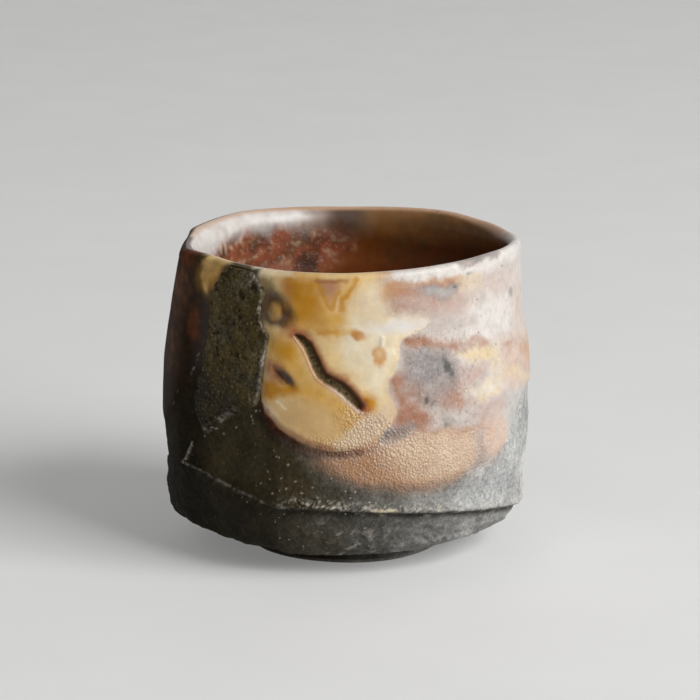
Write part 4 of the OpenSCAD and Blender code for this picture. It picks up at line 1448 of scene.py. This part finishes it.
class CUP_OT_liner_glaze(bpy.types.Operator):
    """Model the glaze inside the bowl and over the lip"""
    bl_idname = "cup.liner_glaze"
    bl_label = "Liner glaze"

    def execute(self, context):
        colours = context.scene.cup_colours
        thickness = context.scene.cup_sizes.liner / MM
        bowl, lip = 128, 20
        start, end = math.pi - 0.12, math.radians(55)

        def over(turn, t):
            angle = mix(start, end, t)
            return lip_place(turn, angle, mix(-0.1, thickness, smoothstep(1.2, 1.42, angle)))

        skin = Skin("liner_glaze", [
            (bowl, lambda turn, t: bowl_place(turn, bowl_rows(t), 0.0)),
            (lip, over),
            (3, lambda turn, t: lip_place(turn, mix(end, 0.9, t), mix(-0.2, -0.7, t))),
            (12, lambda turn, t: bowl_place(turn, 1 - t, 1.0)),
        ], closed=False, columns=420, bias=-0.3)
        angle = mix(start, end, np.clip((skin.row - bowl) / (lip - 1), 0, 1))
        milky = 0.35 * span(np.degrees(skin.turn), *MILKY_LIP)
        rim = smoothstep(2.3 + milky, 1.85 + milky, angle)
        fired = inside_colour(skin.turn, skin.radius, skin.height, colours)
        skin.keep("fired", tint(fired, lip_colour(skin.turn, colours), rim))
        red = embers(skin.turn, skin.height)
        speckle = 0.6 * red * span(skin.height, 38, 43, 50, 52)
        skin.keep("finish", np.column_stack([0 * red, 0.8 - 0.25 * red, speckle]))
        skin.finish(fused_glaze("Liner glaze", colours, 0.5, 0.25), "liner_glaze")
        return {"FINISHED"}


class CUP_OT_outer_glaze(bpy.types.Operator):
    """Model the dipped coat on the outside"""
    bl_idname = "cup.outer_glaze"
    bl_label = "Outer glaze"

    def execute(self, context):
        colours = context.scene.cup_colours
        thickness = context.scene.cup_sizes.coat / MM
        wall, lip, back = 144, 14, 9
        skin = Skin("outer_glaze", coat_runs(
            (wall, lip, back), lambda turn: coat_edge(turn) - COAT_TAIL,
            lambda turn, level: coat_proud(turn, level, thickness),
            lift=0.2, deep=(0.9, 1.6), room=COAT_ROOM))
        crest = (skin.row - wall) / lip
        over = np.where(crest < 1, np.clip(2 * crest - 1, 0, 1), 0)
        fired = outside_colour(skin.turn, skin.height, colours)
        skin.keep("fired", tint(fired, lip_colour(skin.turn, colours), over))
        skin.keep("finish", outside_finish(skin.turn, skin.height))
        skin.finish(fused_glaze("Dipped glaze", colours, 0.62, 0.16), "coat_glaze")
        return {"FINISHED"}


class CUP_OT_glaze_pool(bpy.types.Operator):
    """Model the thick poured glaze on the front, with the spatula cuts"""
    bl_idname = "cup.glaze_pool"
    bl_label = "Glaze pool"

    def execute(self, context):
        colours = context.scene.cup_colours
        sizes = context.scene.cup_sizes
        depths = (sizes.pool / MM, sizes.coat / MM, sizes.gouge / MM)
        skin = Skin("glaze_pool", coat_runs(
            (206, 12, 8), lambda turn: POOL_FOOT,
            lambda turn, level: pool_proud(turn, level, *depths),
            reach=0.9, room=1.6), columns=216, sweep=(-34, 32))
        skin.keep("fired", outside_colour(skin.turn, skin.height, colours))
        skin.keep("finish", outside_finish(skin.turn, skin.height))
        skin.finish(fused_glaze("Poured glaze", colours, 0.55, 0.16), "pool_glaze")
        return {"FINISHED"}


class CUP_OT_ash_crust(bpy.types.Operator):
    """Model the fused ash on the front left facet"""
    bl_idname = "cup.ash_crust"
    bl_label = "Ash crust"

    def execute(self, context):
        colours = context.scene.cup_colours
        thickness = context.scene.cup_sizes.crust / MM
        skin = Skin("ash_crust", coat_runs(
            (216, 12, 8), lambda turn: CRUST_FOOT,
            lambda turn, level: crust_proud(turn, level, thickness),
            reach=0.75, thins=1.0, deep=(1.3, 1.3)), columns=176, sweep=(-63, -19))
        skin.keep("fired", crust_colour(skin.turn, skin.height, colours))
        skin.finish(fused_ash("Fused ash", colours), "ash_crust")
        return {"FINISHED"}


class CUP_OT_stage(bpy.types.Operator):
    """Set the floor, backdrop, lights and camera"""
    bl_idname = "cup.stage"
    bl_label = "Stage"

    def execute(self, context):
        scene = context.scene
        self.floor(scene)
        self.camera(scene)
        self.lights(scene)
        scene.view_settings.view_transform = "Standard"
        return {"FINISHED"}

    @staticmethod
    def floor(scene):
        """A floor that sweeps up into a backdrop."""
        half, front, back, rise, bend = 1.6, -1.6, 1.3, 1.6, 0.5
        bm = bmesh.new()
        path = [(-half, front, 0.0), (-half, back - bend, 0.0)]
        for step in range(1, 13):
            angle = step / 12 * math.pi / 2
            path.append((-half, back - bend + bend * math.sin(angle), bend * (1 - math.cos(angle))))
        path.append((-half, back, rise))
        verts = [bm.verts.new(p) for p in path]
        edges = [bm.edges.new(pair) for pair in zip(verts, verts[1:])]
        made = bmesh.ops.extrude_edge_only(bm, edges=edges)["geom"]
        moved = [v for v in made if isinstance(v, bmesh.types.BMVert)]
        bmesh.ops.translate(bm, verts=moved, vec=(2 * half, 0, 0))
        bmesh.ops.recalc_face_normals(bm, faces=bm.faces)
        for face in bm.faces:
            face.smooth = True
            if face.normal.z < -0.01 or (abs(face.normal.z) <= 0.01 and face.normal.y > 0):
                face.normal_flip()
        mesh = bpy.data.meshes.new("floor_mesh")
        bm.to_mesh(mesh)
        bm.free()
        mesh.materials.append(studio_paint(scene.cup_colours))
        floor = bpy.data.objects.new("floor", mesh)
        scene.collection.objects.link(floor)

    @staticmethod
    def camera(scene):
        """The photograph's view: a long lens a little above the lip's level."""
        distance, elevation = 0.6, math.radians(13)
        aim = Vector((0.75 * MM, 0, 34.1 * MM))
        seen_width = 123.5 * MM
        data = bpy.data.cameras.new("camera")
        data.sensor_width = 36
        data.lens = data.sensor_width * distance / seen_width
        camera = bpy.data.objects.new("camera", data)
        camera.location = aim + distance * Vector((0, -math.cos(elevation), math.sin(elevation)))
        camera.rotation_euler = (math.pi / 2 - elevation, 0, 0)
        scene.collection.objects.link(camera)
        scene.camera = camera

    @staticmethod
    def lights(scene):
        """A broad window to the right and in front, and a low even fill."""
        for name, turn, elevation, distance, size, watts in (
            ("window", 54, 32, 1.5, 1.0, 23.6),
            ("fill", -60, 45, 1.2, 0.9, 0.5),
        ):
            data = bpy.data.lights.new(name, "AREA")
            data.shape = "SQUARE"
            data.size = size
            data.energy = watts
            lamp = bpy.data.objects.new(name, data)
            across, rise = math.radians(turn), math.radians(elevation)
            level = math.cos(rise)
            way = Vector((math.sin(across) * level, -math.cos(across) * level, math.sin(rise)))
            lamp.location = Vector((0, 0, 30 * MM)) + distance * way
            lamp.rotation_euler = way.to_track_quat("Z", "Y").to_euler()
            scene.collection.objects.link(lamp)
        world = bpy.data.worlds.new("world")
        world.use_nodes = True
        sky = world.node_tree.nodes["Background"]
        sky.inputs["Color"].default_value = (0.93, 0.93, 0.92, 1)
        sky.inputs["Strength"].default_value = 0.15
        scene.world = world


PIECES = (CUP_OT_clay_body, CUP_OT_foot_ring, CUP_OT_liner_glaze, CUP_OT_outer_glaze, CUP_OT_glaze_pool,
          CUP_OT_ash_crust, CUP_OT_stage)


class CUP_PT_panel(bpy.types.Panel):
    """The cup's pieces, sizes and colours"""
    bl_idname = "CUP_PT_panel"
    bl_label = "Guinomi"
    bl_space_type = "VIEW_3D"
    bl_region_type = "UI"
    bl_category = "Guinomi"

    def draw(self, context):
        for piece in PIECES:
            self.layout.operator(piece.bl_idname)
        for group in (context.scene.cup_sizes, context.scene.cup_colours):
            for name in group.bl_rna.properties.keys():
                if name not in {"rna_type", "name"}:
                    self.layout.prop(group, name)


CLASSES = (CupSizes, CupColours, *PIECES, CUP_PT_panel)


def register():
    for cls in CLASSES:
        bpy.utils.register_class(cls)
    bpy.types.Scene.cup_sizes = PointerProperty(type=CupSizes)
    bpy.types.Scene.cup_colours = PointerProperty(type=CupColours)


def unregister():
    del bpy.types.Scene.cup_colours
    del bpy.types.Scene.cup_sizes
    for cls in reversed(CLASSES):
        bpy.utils.unregister_class(cls)


def main():
    """Makes every piece and the stage."""
    register()
    bpy.ops.cup.clay_body()
    bpy.ops.cup.foot_ring()
    bpy.ops.cup.liner_glaze()
    bpy.ops.cup.outer_glaze()
    bpy.ops.cup.glaze_pool()
    bpy.ops.cup.ash_crust()
    bpy.ops.cup.stage()


if __name__ == "__main__":
    main()
